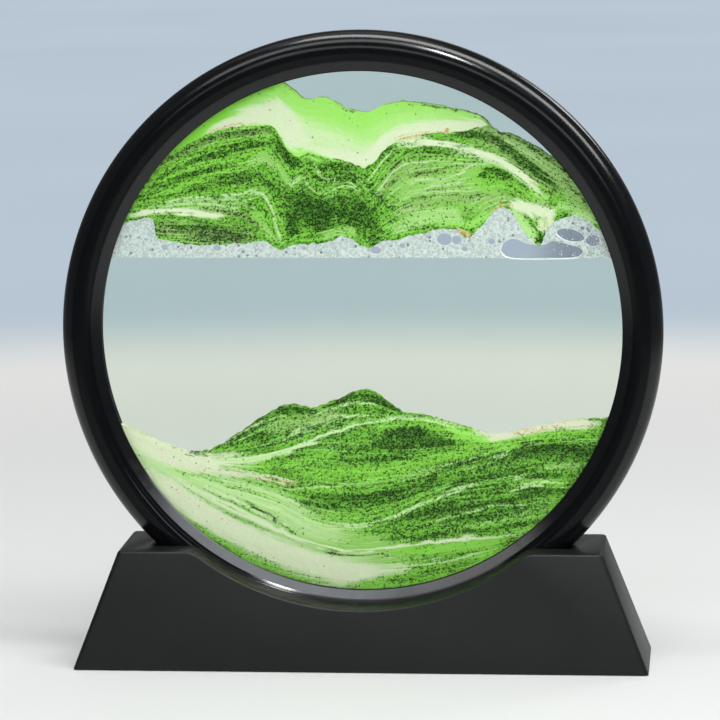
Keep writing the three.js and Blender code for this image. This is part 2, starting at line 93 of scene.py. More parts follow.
# Where the sand's colours meet, drawn from left to right
DUNE_TOP = [
    (-78, -26.5), (-72, -28.8), (-66, -31.5), (-60, -34.2), (-54, -36.3), (-48, -36.6), (-42, -34),
    (-34, -28.5), (-28, -24.6), (-22, -22.2), (-15, -23.2), (-8, -20.8), (0, -17.8), (5, -19.3),
    (12, -24.2), (20, -25.5), (30, -28.5), (40, -31), (50, -29), (65, -26.4), (78, -26)]
PEAK_FOOT = [
    (-60, -26), (-52, -33.5), (-46, -37.5), (-38, -38.2), (-30, -37), (-20, -33), (-10, -27.8),
    (0, -25.6), (8, -25.3), (13, -24.2), (18, -22), (28, -17)]
PALE_TOP = [
    (-60, -26), (-50, -35.5), (-42, -40.5), (-32, -44.5), (-22, -51), (-12, -59), (-2, -64),
    (10, -64.5), (25, -62.2), (40, -61), (60, -58)]
BANK_TOP = [
    (-30, 82), (-22.5, 75), (-19, 72), (-16, 69.6), (-10, 70), (-4, 67), (0, 66), (4, 66.1), (8, 68),
    (14, 68.8), (24, 67.5), (35, 65), (38, 63), (40.5, 60.3), (46, 58.5), (53, 55), (59, 51),
    (66, 47)]
CAP_FOOT = [
    (-70, 45.5), (-58, 52.6), (-50, 57), (-42, 60.3), (-34, 61.6), (-26.5, 61.5), (-24, 59),
    (-21.5, 54.5), (-18.5, 52.4), (-15, 53.6), (-11, 52.4), (-6, 51.6), (-2, 50.4), (1, 49.2),
    (4, 50.4), (7, 54), (10, 56.2), (16, 58), (22, 59.2), (28, 59.5), (34, 60.6), (40, 62.5),
    (50, 68)]
BANK_FOOT = [
    (-76, 31.5), (-69, 33), (-64, 34.2), (-62, 33), (-61, 28), (-57, 27.2), (-50, 26.2), (-42, 26.2),
    (-34, 26.6), (-29, 27.4), (-26, 25.6), (-23.5, 24.4), (-21, 25.8), (-15, 26.4), (-10, 26.6),
    (-6, 28.8), (-3, 28), (0, 26), (3, 25.3), (6, 26.8), (12, 28), (20, 30), (26, 31), (29, 30.2),
    (32, 28), (35, 30.5), (39, 35), (43, 37.4), (46, 34.5), (49, 29.5), (52, 26.6), (54, 26.5),
    (56, 31.5), (60, 34), (64, 34.8), (68, 33), (72, 30), (78, 28)]

# Lines along the layers, from the lowest up
DUNE_GUIDES = [
    [(-80, -62), (-60, -68), (-40, -74), (-20, -78), (0, -79.5), (20, -79), (40, -76), (60, -70),
     (80, -62)],
    [(-80, -44), (-62, -50), (-50, -57), (-36, -64), (-24, -69), (-10, -72), (5, -72), (20, -70),
     (30, -68), (40, -66), (55, -63), (80, -60)],
    [(-80, -36), (-66, -40), (-55, -45), (-45, -51), (-35, -56), (-25, -60.5), (-15, -64),
     (-5, -66.5), (5, -66), (15, -64.5), (25, -63), (35, -62), (47, -61), (60, -58), (80, -54)],
    [(-80, -31), (-66, -36), (-55, -41), (-45, -46), (-35, -48.5), (-25, -52), (-15, -57),
     (-5, -58.8), (2, -58.5), (10, -56.5), (20, -51.5), (30, -48.5), (45, -47), (52, -45.8),
     (60, -46.4), (80, -44)],
    [(-80, -29), (-64, -35), (-50, -40.5), (-36, -43.4), (-24, -46.4), (-12, -49.6), (0, -50),
     (12, -47.6), (24, -44), (36, -40), (48, -36), (60, -34.5), (80, -34)],
    [(-80, -27.5), (-64, -33.6), (-52, -37.8), (-42, -39.4), (-32, -39), (-22, -36.4), (-12, -35),
     (0, -36), (12, -36), (24, -35), (36, -33.6), (48, -32), (60, -31), (80, -31)],
    [(-80, -27), (-64, -33), (-52, -37.2), (-42, -38), (-32, -37.3), (-24, -35.6), (-15, -32.6),
     (-6, -29.2), (2, -27.2), (10, -26.2), (20, -26.6), (30, -29.5), (40, -31.5), (55, -29.5),
     (80, -28)],
    [(-80, -26), *[(x, z + 0.2) for x, z in DUNE_TOP[1:-1]], (80, -25.8)],
]
BANK_GUIDES = [
    [(-80, 22), (80, 22)],
    [(-80, 33), (-66, 35), (-60, 34.4), (-50, 33.6), (-42, 32.4), (-34, 31), (-29, 30.6), (-26, 28),
     (-23.5, 26), (-19, 30), (-12, 31), (-6, 32.4), (-1, 30), (3, 28), (7, 31), (12, 34), (20, 36),
     (28, 36), (33, 34), (38, 37.6), (44, 39.6), (50, 35), (54, 30), (58, 35), (64, 37), (72, 33),
     (80, 30)],
    [(-80, 36), (-66, 38), (-60, 38.6), (-52, 39.6), (-44, 40), (-36, 39), (-32, 41), (-28.5, 41),
     (-26, 36), (-23.4, 30), (-19, 36), (-12, 37.4), (-6, 38.6), (-1, 36), (3, 32), (8, 36.5),
     (14, 41), (22, 43), (30, 44.6), (38, 45), (46, 43), (52, 39), (58, 38.4), (66, 37), (80, 33)],
    [(-80, 40), (-66, 43), (-56, 47), (-46, 49.4), (-36, 51), (-30, 52.4), (-26.5, 51.6),
     (-23.4, 46), (-20, 42), (-16, 45.4), (-13, 42), (-10, 41.5), (-7, 43.5), (-3, 44), (0, 41.5),
     (3, 38), (7, 44), (11, 49), (16, 52.4), (23, 52.8), (30, 52), (38, 51.4), (45, 49), (52, 44),
     (59, 40.4), (66, 38), (80, 34)],
    [(-80, 42), *CAP_FOOT[:18], (22, 58.6), (30, 57.6), (38, 56.4), (46, 52.6), (53, 47.6),
     (60, 43.4), (68, 40), (80, 36)],
    [(-80, 84), *BANK_TOP, (80, 40)],
]

# Dyed sands: colour as seen, share of black grains, share of rust grains, share of fine stripes
SANDS = {
    "lime": ((168, 234, 108), 0.003, 0, 0),
    "grass": ((134, 204, 68), 0.12, 0, 0.15),
    "verge": ((138, 216, 70), 0.01, 0, 0),
    "pale_lime": ((196, 238, 152), 0.003, 0, 0.2),
    "cream": ((228, 236, 198), 0.002, 0, 0.05),
    "blush": ((230, 228, 200), 0.006, 0.05, 0.1),
    "mint": ((210, 236, 174), 0.006, 0, 0.3),
    "pale_leaf": ((152, 205, 100), 0.02, 0, 0.7),
    "leaf": ((120, 188, 60), 0.27, 0, 0.25),
    "moss": ((106, 170, 52), 0.5, 0, 0.15),
    "dusk": ((92, 150, 46), 0.8, 0, 0.05),
    "night": ((74, 126, 38), 0.97, 0, 0),
    "haze": ((154, 192, 108), 0.12, 0, 0.4),
    "olive": ((130, 160, 88), 0.36, 0, 0.3),
    "soot": ((104, 130, 72), 0.72, 0, 0.2),
    "rust": ((222, 206, 164), 0.02, 0.6, 0),
}

# Strokes in painting order: sand, strength, half width above, half width below, the brush's line
DUNE_STROKES = [
    ("pale_leaf", 1, 9, 16, [(-78, -32), (-62, -42), (-46, -49), (-32, -54), (-20, -59), (-8, -65), (4, -68),
     (14, -69)]),
    ("mint", 0.6, 5, 6, [(-76, -31), (-62, -39.5), (-48, -45.5), (-36, -49.5), (-26, -53), (-16, -58.5),
     (-6, -62.5)]),
    ("cream", 1, 5, 6, [(-72, -37), (-62, -46), (-52, -53), (-42, -59), (-32, -64), (-20, -68.8),
     (-8, -72.2), (3, -74), (14, -74.6)]),
    ("blush", 0.5, 1.4, 1.6, [(-62, -43.6), (-54, -50), (-46, -55.4), (-38, -59.6)]),
    ("grass", 0.8, 2.6, 5, [(-60, -53.5), (-52, -59.5), (-44, -65), (-34, -70.5), (-24, -75), (-14, -78)]),
    ("leaf", 0.6, 1.4, 2.4, [(-52, -60.6), (-44, -66), (-34, -71.6), (-24, -76)]),
    ("cream", 1, 3.6, 4, [(-100, -16), (-78, -28), (-66, -34.4), (-57, -38.2), (-47, -40.2),
     (-38, -40.6), (-31, -39.6)]),
    ("pale_lime", 0.6, 1.6, 2, [(-60, -41.5), (-50, -45), (-40, -47.4), (-30, -49.4), (-22, -52)]),
    ("grass", 0.8, 1.6, 2, [(-44, -41.4), (-34, -41.6), (-24, -40.4), (-14, -38), (-4, -35.6)]),
    ("blush", 0.8, 0.8, 0.9, [(-66, -36.5), (-56, -40), (-46, -42.2), (-36, -43.4), (-27, -44.6),
     (-20, -46.6)]),
    ("rust", 0.5, 0.4, 0.4, [(-36, -43.8), (-28, -45), (-22, -46.6), (-18.6, -47)]),
    ("moss", 0.5, 5, 5, [(-40, -34.6), (-30, -30.5), (-20, -29), (-10, -27), (0, -22.6), (8, -24)]),
    ("dusk", 0.9, 1.1, 1.2, [(-46, -36.4), (-38, -32), (-31, -27.4), (-25, -24), (-19, -23.6), (-14, -24.4)]),
    ("dusk", 0.8, 1.2, 1.2, [(-12, -24), (-5, -21), (0, -19.4), (6, -21.6), (12, -24.8)]),
    ("night", 0.8, 0.7, 0.8, [(2, -19.6), (6, -21), (12, -24.6)]),
    ("dusk", 0.6, 0.8, 0.9, [(-36, -34.4), (-28, -30.6), (-21, -28.4), (-14, -27.6), (-8, -26.6)]),
    ("dusk", 0.6, 0.8, 0.9, [(-40, -36.8), (-30, -34.4), (-21, -31.4), (-14, -28.8)]),
    ("night", 0.7, 0.8, 0.8, [(-21, -24.2), (-17, -24.4), (-13, -24.6)]),
    ("moss", 0.8, 1.8, 2.4, [(-30, -40), (-24, -38.6), (-16, -35.6), (-8, -33), (0, -31)]),
    ("moss", 0.75, 4, 5, [(-10, -36), (0, -35.4), (10, -36), (22, -36.4), (32, -36.6)]),
    ("dusk", 0.9, 3.6, 3.6, [(4, -33.6), (11, -32.2), (18, -31.4), (23, -32), (28, -34)]),
    ("night", 0.85, 2.6, 2.8, [(11, -33), (16, -32), (21, -32.4), (25, -34)]),
    ("dusk", 0.6, 0.9, 1, [(-8, -39.8), (2, -39), (12, -38.6), (24, -38.8), (34, -38.4)]),
    ("moss", 0.75, 7, 7, [(24, -44), (38, -42), (52, -40), (66, -39.4), (78, -39)]),
    ("moss", 0.9, 7, 7, [(0, -54.4), (14, -55), (28, -53.6), (42, -51.4), (58, -49)]),
    ("dusk", 0.8, 2.2, 2.6, [(-20, -52), (-10, -51.4), (0, -50.6), (9, -48.8), (18, -46.4), (26, -43.6)]),
    ("night", 0.75, 0.9, 1, [(-12, -51.6), (-4, -50.8), (4, -49.8), (10, -48.4)]),
    ("dusk", 0.9, 2.6, 2.8, [(44, -37.4), (52, -35.4), (60, -35.4), (72, -36.4)]),
    ("night", 0.8, 1.5, 1.6, [(49, -36.6), (55, -35.2), (61, -35.4), (70, -36.4)]),
    ("dusk", 0.75, 0.9, 1, [(22, -41), (32, -39.4), (42, -37.2), (50, -34.6), (60, -33)]),
    ("dusk", 0.75, 1.2, 1.4, [(24, -47.6), (36, -44.2), (48, -42), (58, -42.4)]),
    ("dusk", 0.75, 1.4, 1.6, [(12, -57), (22, -54.4), (32, -52.4), (44, -50.6), (56, -49.4)]),
    ("dusk", 0.75, 1.2, 1.4, [(46, -48.4), (52, -47.4), (58, -47.8), (64, -48)]),
    ("dusk", 0.8, 0.9, 1, [(4, -63.2), (16, -62.2), (28, -61), (40, -59.6), (52, -57)]),
    ("dusk", 0.7, 0.8, 0.9, [(28, -57), (38, -55.4), (50, -53.4)]),
    ("soot", 0.7, 0.6, 0.7, [(-12, -66.8), (-4, -68), (4, -67.8), (12, -66.8)]),
    ("moss", 0.9, 0.6, 0.7, [(-36, -52), (-30, -55.4), (-24, -59.4), (-20, -61.6)]),
    ("night", 0.7, 0.35, 0.4, [(-33, -53.8), (-29, -56), (-26, -57.8)]),
    ("grass", 0.85, 1.8, 1.8, [(-22, -42.4), (-8, -43.2), (6, -42), (18, -39.6), (30, -36.6), (38, -34)]),
    ("pale_leaf", 0.6, 0.7, 0.8, [(-22, -45.6), (-8, -46.4), (6, -45.4), (18, -42), (30, -38.4)]),
    ("grass", 0.5, 1.5, 1.8, [(-20, -55.4), (-8, -56.6), (4, -55), (14, -51.8), (26, -47.2)]),
    ("grass", 0.95, 2.4, 2.8, [(16, -27.4), (24, -29), (32, -31.4), (40, -33.4), (48, -33.4)]),
    ("lime", 0.8, 1.4, 1.6, [(24, -28.6), (32, -30.8), (38, -32), (44, -32.4)]),
    ("grass", 0.8, 0.9, 1, [(40, -33), (50, -31.4), (60, -30.2), (70, -29.8)]),
    ("leaf", 0.7, 1.2, 1.4, [(-2, -60.8), (8, -60), (18, -57.6), (28, -55)]),
    ("grass", 0.6, 0.8, 0.9, [(44, -46.6), (50, -45.6), (56, -45.2), (62, -45.8)]),
    ("grass", 0.95, 2.4, 2.6, [(6, -66.6), (18, -66.4), (30, -64.8), (44, -62.6)]),
    ("pale_leaf", 0.85, 1.2, 1.2, [(6, -67), (18, -66.8), (30, -65.2), (42, -63.2)]),
    ("verge", 0.6, 1.8, 2, [(8, -66.6), (18, -66.4), (30, -64.8), (44, -62.6)]),
    ("grass", 0.95, 3, 5, [(-8, -79), (4, -77), (14, -75), (24, -72.6), (34, -69.6), (46, -65)]),
    ("leaf", 0.7, 1.4, 2, [(6, -76.4), (16, -74.4), (26, -71.8), (36, -68.4)]),
    ("moss", 0.5, 0.8, 0.9, [(10, -75), (20, -73), (30, -70)]),
    ("mint", 1, 0.8, 1.2, [(-46, -38.6), (-36, -38.8), (-27, -37.2), (-18, -34.2), (-9, -30.6), (0, -27.8)]),
    ("mint", 0.95, 0.45, 0.6, [(-12, -31.4), (-4, -28.6), (4, -27), (11, -26.2), (18, -26.4), (25, -27.4),
     (33, -29)]),
    ("mint", 0.9, 0.45, 0.6, [(-24, -32), (-16, -28.6), (-9, -25.8), (-2, -25), (5, -25.6)]),
    ("mint", 0.8, 0.35, 0.45, [(-16, -25.6), (-7, -22.6), (0, -21), (5, -22)]),
    ("mint", 0.8, 0.35, 0.45, [(-40, -34.6), (-30, -29.8), (-24, -27), (-17, -26.8)]),
    ("mint", 0.7, 0.3, 0.4, [(-43, -35), (-36, -30.4), (-28, -26.2), (-21, -25)]),
    ("mint", 0.6, 0.3, 0.4, [(-34, -35.4), (-26, -33), (-18, -30.4), (-10, -27.4), (-4, -26.6)]),
    ("haze", 0.7, 2.6, 2.6, [(-30, -30.4), (-22, -28), (-14, -26.4), (-6, -24.6)]),
    ("mint", 0.95, 0.45, 0.6, [(-60, -40.5), (-46, -46.4), (-36, -49), (-26, -52.6), (-16, -57), (-7, -58.8),
     (1, -58.2), (10, -55.6), (20, -51), (31, -47), (38, -44.6)]),
    ("mint", 0.85, 0.35, 0.45, [(-36, -50.2), (-26, -54), (-17, -58.2), (-8, -60.2), (0, -59.6)]),
    ("cream", 0.95, 0.6, 0.8, [(-58, -43.6), (-46, -50.6), (-36, -55.6), (-26, -60.4), (-16, -64.2),
     (-6, -66.4), (4, -66), (14, -64.6), (25, -63), (36, -62), (49, -60.8)]),
    ("mint", 0.85, 0.35, 0.5, [(-54, -43.2), (-44, -47.8), (-34, -51.2), (-24, -55.8), (-14, -61)]),
    ("cream", 0.85, 0.35, 0.5, [(-50, -46.2), (-40, -51.2), (-30, -56), (-20, -61)]),
    ("cream", 0.8, 0.35, 0.45, [(-46, -44.2), (-36, -46.2), (-26, -49.4), (-14, -55)]),
    ("mint", 0.7, 0.3, 0.4, [(-34, -45), (-24, -47.6), (-14, -48), (-4, -47)]),
    ("leaf", 0.7, 0.4, 0.5, [(-56, -46), (-46, -52.4), (-36, -57.8), (-26, -62.4)]),
    ("leaf", 0.75, 0.4, 0.5, [(-52, -42.8), (-42, -46.4), (-32, -49.2), (-22, -53)]),
    ("leaf", 0.7, 0.45, 0.5, [(-48, -48.8), (-38, -53.4), (-28, -58)]),
    ("leaf", 0.6, 0.35, 0.4, [(-60, -41.6), (-50, -44.2), (-40, -45.4), (-30, -47)]),
    ("mint", 0.8, 0.4, 0.7, [(0, -70.4), (10, -70.8), (20, -69.6), (30, -67.8), (41, -65.4)]),
    ("cream", 0.8, 1, 1.2, [(0, -71.6), (8, -72.4), (15, -72)]),
    ("mint", 0.85, 0.35, 0.45, [(43, -48.4), (47.6, -46.8), (53, -45.8), (58, -45.6), (63, -46.4)]),
    ("haze", 0.7, 0.9, 1.1, [(54, -40.6), (60, -40.4), (66, -41)]),
    ("mint", 0.6, 0.3, 0.4, [(18, -57.4), (30, -54.8), (40, -53.2), (50, -52.8)]),
    ("mint", 0.55, 0.3, 0.4, [(26, -43.8), (36, -39.8), (46, -35.6), (54, -32.6)]),
    ("mint", 0.5, 0.3, 0.4, [(20, -50.6), (32, -46.4), (42, -44.2), (52, -43.6)]),
    ("mint", 0.3, 0.3, 0.4, [(28, -59.4), (40, -57.2), (50, -54.8)]),
    ("mint", 0.45, 0.3, 0.4, [(10, -46), (22, -42.2), (34, -38), (44, -34.4)]),
    ("blush", 1, 1.7, 1.9, [(33, -30), (40, -31), (46, -30.2), (53, -28.6), (60, -27.6),
     (66, -27.4), (72, -27.2)]),
    ("rust", 0.45, 0.5, 0.6, [(44, -31), (52, -29.4), (60, -28.4)]),
    ("cream", 1, 2, 2, [(-100, -17), (-78, -27.4), (-70, -30.6), (-62, -34.2), (-56, -36.8), (-48, -38.6)]),
    ("blush", 0.5, 1, 1.2, [(-72, -31), (-66, -33.6), (-60, -36.4), (-54, -38.4)]),
    ("soot", 0.9, 0.35, 0.45, [(-54, -36.6), (-50, -37.2), (-44, -37.2), (-38, -36.8), (-30, -36.2)]),
]
BANK_STROKES = [
    ("moss", 0.1, 8, 9, [(-74, 40), (-60, 46), (-46, 50), (-34, 50), (-26, 46)]),
    ("olive", 0.8, 0.9, 1.3, [(-62, 48.6), (-54, 53), (-46, 57), (-38, 59.4), (-30, 60.2), (-25, 59.6)]),
    ("grass", 0.6, 0.8, 0.9, [(-64, 45.6), (-56, 50), (-48, 54), (-40, 56.6), (-33, 57.6)]),
    ("dusk", 0.6, 1.3, 1.4, [(-62, 45), (-52, 50), (-42, 53.8), (-33, 56), (-26, 56.4)]),
    ("night", 0.8, 1.4, 1.4, [(-27, 58.4), (-24.4, 56), (-22.4, 53), (-20, 50.8), (-17, 51.4)]),
    ("grass", 0.7, 0.9, 1, [(-66, 42.2), (-56, 46.8), (-46, 50.4), (-36, 53), (-29, 54)]),
    ("dusk", 0.5, 1.1, 1.2, [(-66, 40.8), (-56, 45), (-46, 48.2), (-38, 50.2)]),
    ("grass", 0.8, 1.2, 1.4, [(-64, 39.6), (-54, 43.2), (-44, 46.4), (-36, 49.6), (-30, 52), (-26.4, 51.4)]),
    ("pale_leaf", 0.75, 1.5, 1.8, [(-34, 50), (-28.4, 52), (-24.8, 49.8), (-22, 45.8), (-20, 42)]),
    ("dusk", 0.6, 1.2, 1.4, [(-54, 41.8), (-46, 43.8), (-38, 45), (-32, 46.4), (-27, 45.4)]),
    ("night", 0.6, 1, 1.1, [(-41, 44), (-36, 44.4), (-32, 45)]),
    ("dusk", 0.6, 1.2, 1.4, [(-30, 44), (-26, 43.4), (-23.4, 39)]),
    ("moss", 0.8, 6, 7, [(-24, 41), (-13, 37), (-3, 36), (7, 32)]),
    ("dusk", 0.5, 4, 4.6, [(-22, 39), (-13, 36), (-4, 35.4), (4, 32)]),
    ("night", 0.8, 5.2, 5.6, [(-19.6, 39), (-14, 36.4), (-8, 34.6)]),
    ("night", 0.8, 2.6, 2.6, [(-21.4, 36), (-20.4, 32), (-19.4, 28.6)]),
    ("dusk", 0.8, 4.4, 4.6, [(-8, 39.4), (-2, 36.6), (2, 33)]),
    ("moss", 0.55, 2.6, 2.6, [(-16, 49.6), (-10, 48.6), (-4, 48.4), (2, 46)]),
    ("dusk", 0.6, 1.5, 1.6, [(-15, 47), (-8, 46), (-3, 46.2), (0, 45)]),
    ("dusk", 0.7, 0.8, 0.9, [(-12, 51.4), (-7, 50.4), (-2, 49.2)]),
    ("dusk", 0.8, 2.2, 2.2, [(0, 39), (3, 34), (4.6, 29.6), (3, 26)]),
    ("dusk", 0.7, 1.2, 1.4, [(1, 45.4), (4.6, 41.6), (7.6, 37.6)]),
    ("olive", 1, 3.4, 3.4, [(-63, 30.4), (-55, 30.4), (-46, 29.8), (-38, 29.2), (-31, 28.6)]),
    ("soot", 0.75, 1.4, 1.6, [(-50, 29), (-42, 28.6), (-34, 28)]),
    ("dusk", 0.7, 1.2, 1.3, [(-58, 31.6), (-48, 31.2), (-40, 30.6), (-33, 30)]),
    ("grass", 0.6, 0.8, 1.2, [(-61, 28.4), (-57, 28.2), (-53, 28.4)]),
    ("cream", 1, 1.2, 1.1, [(-70, 34.4), (-61, 36), (-53, 35.8), (-45, 34.8), (-40, 34.2)]),
    ("pale_leaf", 0.7, 1.2, 1.3, [(-62, 38.2), (-52, 38.2), (-43, 37), (-34, 35.4)]),
    ("olive", 0.8, 1.2, 1.6, [(-48, 37.4), (-40, 36), (-33, 34), (-29, 31)]),
    ("pale_leaf", 0.7, 1.4, 1.8, [(-33, 36), (-29.6, 33.6), (-27.4, 30), (-25, 27)]),
    ("mint", 0.9, 0.45, 0.6, [(-66, 37), (-55, 39.6), (-45, 40.2), (-37, 40.2), (-32.4, 41.6), (-29, 41.4),
     (-27, 38), (-25.6, 34), (-24, 28), (-22.6, 25.4)]),
    ("mint", 0.7, 0.3, 0.4, [(-64, 36.8), (-54, 38.4), (-44, 38.2), (-38, 37.2), (-33, 37.4), (-30, 36.4)]),
    ("mint", 0.6, 0.3, 0.4, [(-46, 39.2), (-40, 38.8), (-35, 39.6), (-31, 39.8)]),
    ("pale_leaf", 0.8, 1.4, 1.8, [(-12, 28.4), (-8, 30), (-4, 30.6), (-1, 28.8)]),
    ("mint", 0.85, 0.4, 0.5, [(-23, 43), (-19.4, 45.2), (-16.4, 45.8), (-14, 42.8), (-10.4, 41.6), (-7, 43.4),
     (-3, 44), (0.6, 41.6)]),
    ("mint", 0.8, 0.3, 0.4, [(-14.2, 53), (-13.4, 49.6), (-11.4, 47), (-8.4, 45.6), (-4, 46)]),
    ("mint", 0.5, 0.3, 0.4, [(-4, 50), (-1, 46.6), (2, 43)]),
    ("pale_leaf", 0.85, 10, 11, [(10, 38), (16, 42), (24, 44), (34, 43), (44, 39.6)]),
    ("pale_lime", 0.6, 2.4, 2.6, [(9, 30), (16, 33.2), (24, 35.2), (31, 34)]),
    ("lime", 0.7, 1.4, 1.8, [(22, 31.8), (28, 32.6), (34, 32.4), (38, 35.6)]),
    ("haze", 0.9, 1.3, 1.6, [(10, 34.6), (18, 38.4), (28, 39.4), (38, 40.2), (46, 40)]),
    ("olive", 0.7, 0.5, 0.6, [(9, 36.4), (16, 39.8), (24, 41), (33, 41), (41, 41.4)]),
    ("grass", 1, 3.4, 3.6, [(33, 44.6), (40, 46.2), (46, 44.8), (51, 42.4), (56, 39.6)]),
    ("moss", 0.45, 2.2, 2.4, [(36, 45), (41, 46), (46, 44.6), (51, 42)]),
    ("dusk", 0.75, 1.1, 1.1, [(35, 46.6), (39, 47.6), (43, 46.8), (46, 45)]),
    ("haze", 0.7, 2, 2.4, [(5, 40), (9, 45), (14, 48.6), (21, 50)]),
    ("cream", 0.8, 0.35, 0.45, [(6, 37.4), (10, 42), (16, 45.2), (24, 46), (29, 47.4), (36, 50.4),
     (41, 50.4)]),
    ("olive", 0.85, 0.5, 0.6, [(7, 42), (12, 46.4), (20, 47.8), (28, 49), (35, 51.6)]),
    ("cream", 0.75, 0.3, 0.4, [(4, 40), (8, 45.6), (12, 49), (18, 50.6), (26, 50.6)]),
    ("soot", 0.8, 0.4, 0.5, [(5, 44), (9, 48.8), (13, 51.4), (20, 52.4), (27, 52.4)]),
    ("cream", 0.85, 0.35, 0.45, [(2, 44.6), (6, 50), (10, 54), (15, 55.6), (22, 55.2)]),
    ("dusk", 0.9, 0.45, 0.5, [(12, 53), (17, 54.2), (23, 53.8), (27, 53)]),
    ("dusk", 0.7, 0.5, 0.6, [(1, 46.6), (5, 52), (9, 55.4)]),
    ("olive", 0.6, 0.4, 0.5, [(18, 42.4), (26, 43), (33, 44.2)]),
    ("cream", 0.6, 0.3, 0.35, [(12, 41.4), (20, 43.4), (28, 44.6), (33, 46.4)]),
    ("cream", 0.5, 0.3, 0.35, [(8, 37.4), (14, 40.6), (22, 42.2), (30, 42.4)]),
    ("cream", 1, 1.1, 1.4, [(9, 56.4), (16, 57.2), (23, 56.2), (30, 54.8), (36, 53.6), (43, 50.6), (50, 45.6),
     (56, 39.4)]),
    ("cream", 0.8, 0.3, 0.35, [(30, 53), (37, 51.8), (43, 48.8), (49, 44.2), (55, 38.8)]),
    ("haze", 1, 4, 4.6, [(29, 60), (40, 58.4), (48, 54.4), (56, 48.8), (62, 44), (68, 38), (72, 33)]),
    ("night", 0.85, 1.4, 1.6, [(27, 58.2), (33, 59), (39, 58), (45, 54), (51, 49.4), (56, 45), (60, 41.4)]),
    ("olive", 0.8, 0.6, 0.8, [(42, 53), (48, 49), (54, 44.4), (59, 40)]),
    ("soot", 0.85, 0.5, 0.6, [(40, 60.4), (47, 57.6), (53, 54), (59, 49.6), (64, 45)]),
    ("mint", 0.6, 0.3, 0.4, [(42, 58), (48, 54.8), (54, 50.6), (60, 46)]),
    ("soot", 0.6, 0.5, 0.6, [(60, 46), (64, 42), (68, 37)]),
    ("pale_lime", 0.6, 1.4, 1.6, [(58, 38), (63, 36.6), (70, 33)]),
    ("cream", 1, 2.4, 2.8, [(44, 38.4), (49, 37.2), (54, 36), (58.6, 35)]),
    ("pale_lime", 0.85, 1.8, 2.2, [(45, 36.6), (48.4, 32), (51, 29), (52.6, 27.6)]),
    ("cream", 0.9, 1.6, 1.8, [(53, 33), (55.4, 31), (57, 34)]),
    ("night", 0.95, 1.1, 1.1, [(53, 27), (53.6, 28.8)]),
    ("moss", 0.8, 0.9, 0.9, [(52.6, 28), (53.8, 30.4)]),
    ("rust", 0.9, 0.5, 0.6, [(38.6, 35), (41, 37), (43.6, 37.8), (46, 37.4)]),
    ("rust", 0.9, 0.7, 0.8, [(28.6, 30.8), (31, 29.2), (33, 28)]),
    ("rust", 0.7, 0.6, 0.6, [(53.4, 31.4), (55, 32), (56, 31)]),
]
CAP_STROKES = [
    ("verge", 0.95, 4.6, 3.6, [(-70, 44), (-60, 52), (-50, 60), (-40, 66.6), (-31, 71.6), (-24, 75)]),
    ("pale_lime", 0.7, 6, 6, [(-40, 63), (-28, 66), (-18, 61), (-8, 57.4), (2, 55), (10, 59),
     (24, 61), (44, 61)]),
    ("cream", 0.6, 5, 4, [(-30, 66), (-22, 62), (-14, 57.6), (-6, 55), (2, 52.6), (9, 57)]),
    ("cream", 1, 1.6, 3, [(-46, 59.4), (-40, 61.8), (-33, 63.6), (-27, 65), (-22.4, 62),
     (-20, 57), (-17.6, 54.6)]),
    ("cream", 0.95, 2.6, 3, [(-40, 62.6), (-32, 65), (-25, 67.4), (-21, 64), (-18, 58), (-14, 55)]),
    ("cream", 1, 1.8, 3, [(-17, 55), (-10, 53.8), (-4, 52.6), (1, 51.4), (5, 54.4), (9, 58.6), (16, 60.8),
     (24, 61.6), (36, 61.6), (44, 60)]),
    ("rust", 0.6, 0.3, 0.4, [(-56, 53.4), (-48, 58.2), (-40, 60.9), (-32, 62), (-25, 61.9)]),
    ("rust", 1, 0.6, 0.8, [(10, 57), (17, 58.5), (25, 59.9), (27, 60)]),
    ("olive", 0.8, 0.4, 0.5, [(8, 68.2), (14, 68.9), (24, 67.6), (35, 65.1), (38, 63)]),
    ("olive", 0.5, 0.4, 0.5, [(-22.4, 75), (-19, 72), (-16, 69.6)]),
    ("olive", 0.6, 0.4, 0.5, [(-8, 69), (-4, 67), (0, 66), (4, 66.1)]),
    ("soot", 0.7, 0.5, 0.8, [(36, 64.4), (38.4, 62.6), (40, 61)]),
]

# Trapped air: the long bubble's outline, then round ones as x, z, half length, half height, tilt
LONG_BUBBLE = [
    (41.6, 24.4), (42.4, 26.6), (44.6, 27.9), (47.2, 27.7), (49.4, 26.7), (52, 26.2), (54.6, 26.3),
    (56.6, 27.2), (58.6, 27.3), (62, 26.3), (65, 25.5), (66.3, 24.3), (65.7, 22.9), (63.6, 22),
    (58, 21.8), (52, 21.7), (46, 21.8), (43, 22.5)]
ROUND_BUBBLES = [
    (62.5, 28.9, 4.4, 2.0, -14), (69.1, 27.3, 2.2, 1.9, 0), (25, 27.6, 2.3, 1.9, 0),
    (28.6, 27.4, 1.6, 1.4, 0), (4.5, 24.3, 1.6, 1.2, 0), (39, 27, 1.1, 1.0, 0),
    (12.5, 25.7, 0.9, 0.8, 0), (31, 24.7, 1.0, 0.8, 0), (-59, 25.2, 1.1, 0.9, 0),
    (-43, 25, 1.2, 0.9, 0), (-64.5, 27.6, 0.7, 0.6, 0), (-17, 25, 0.8, 0.7, 0), (9, 25.6, 0.6, 0.5, 0),
    (66, 31, 0.7, 0.7, 0), (68, 30.2, 0.5, 0.5, 0), (63.2, 32.4, 0.5, 0.5, 0), (20, 28.4, 0.5, 0.5, 0)]


def linear(colour):
    """A colour as seen, 0 to 255, as Blender's linear values."""
    share = np.array(colour) / 255
    return tuple(np.where(share <= 0.04045, share / 12.92, ((share + 0.055) / 1.055) ** 2.4))


def length(title, note, value):
    return FloatProperty(name=title, description=note, default=value, min=0, precision=5, unit="LENGTH")


def colour(title, note, value):
    return FloatVectorProperty(name=title, description=note, default=linear(value), min=0, max=1, size=3,
                               subtype="COLOR")


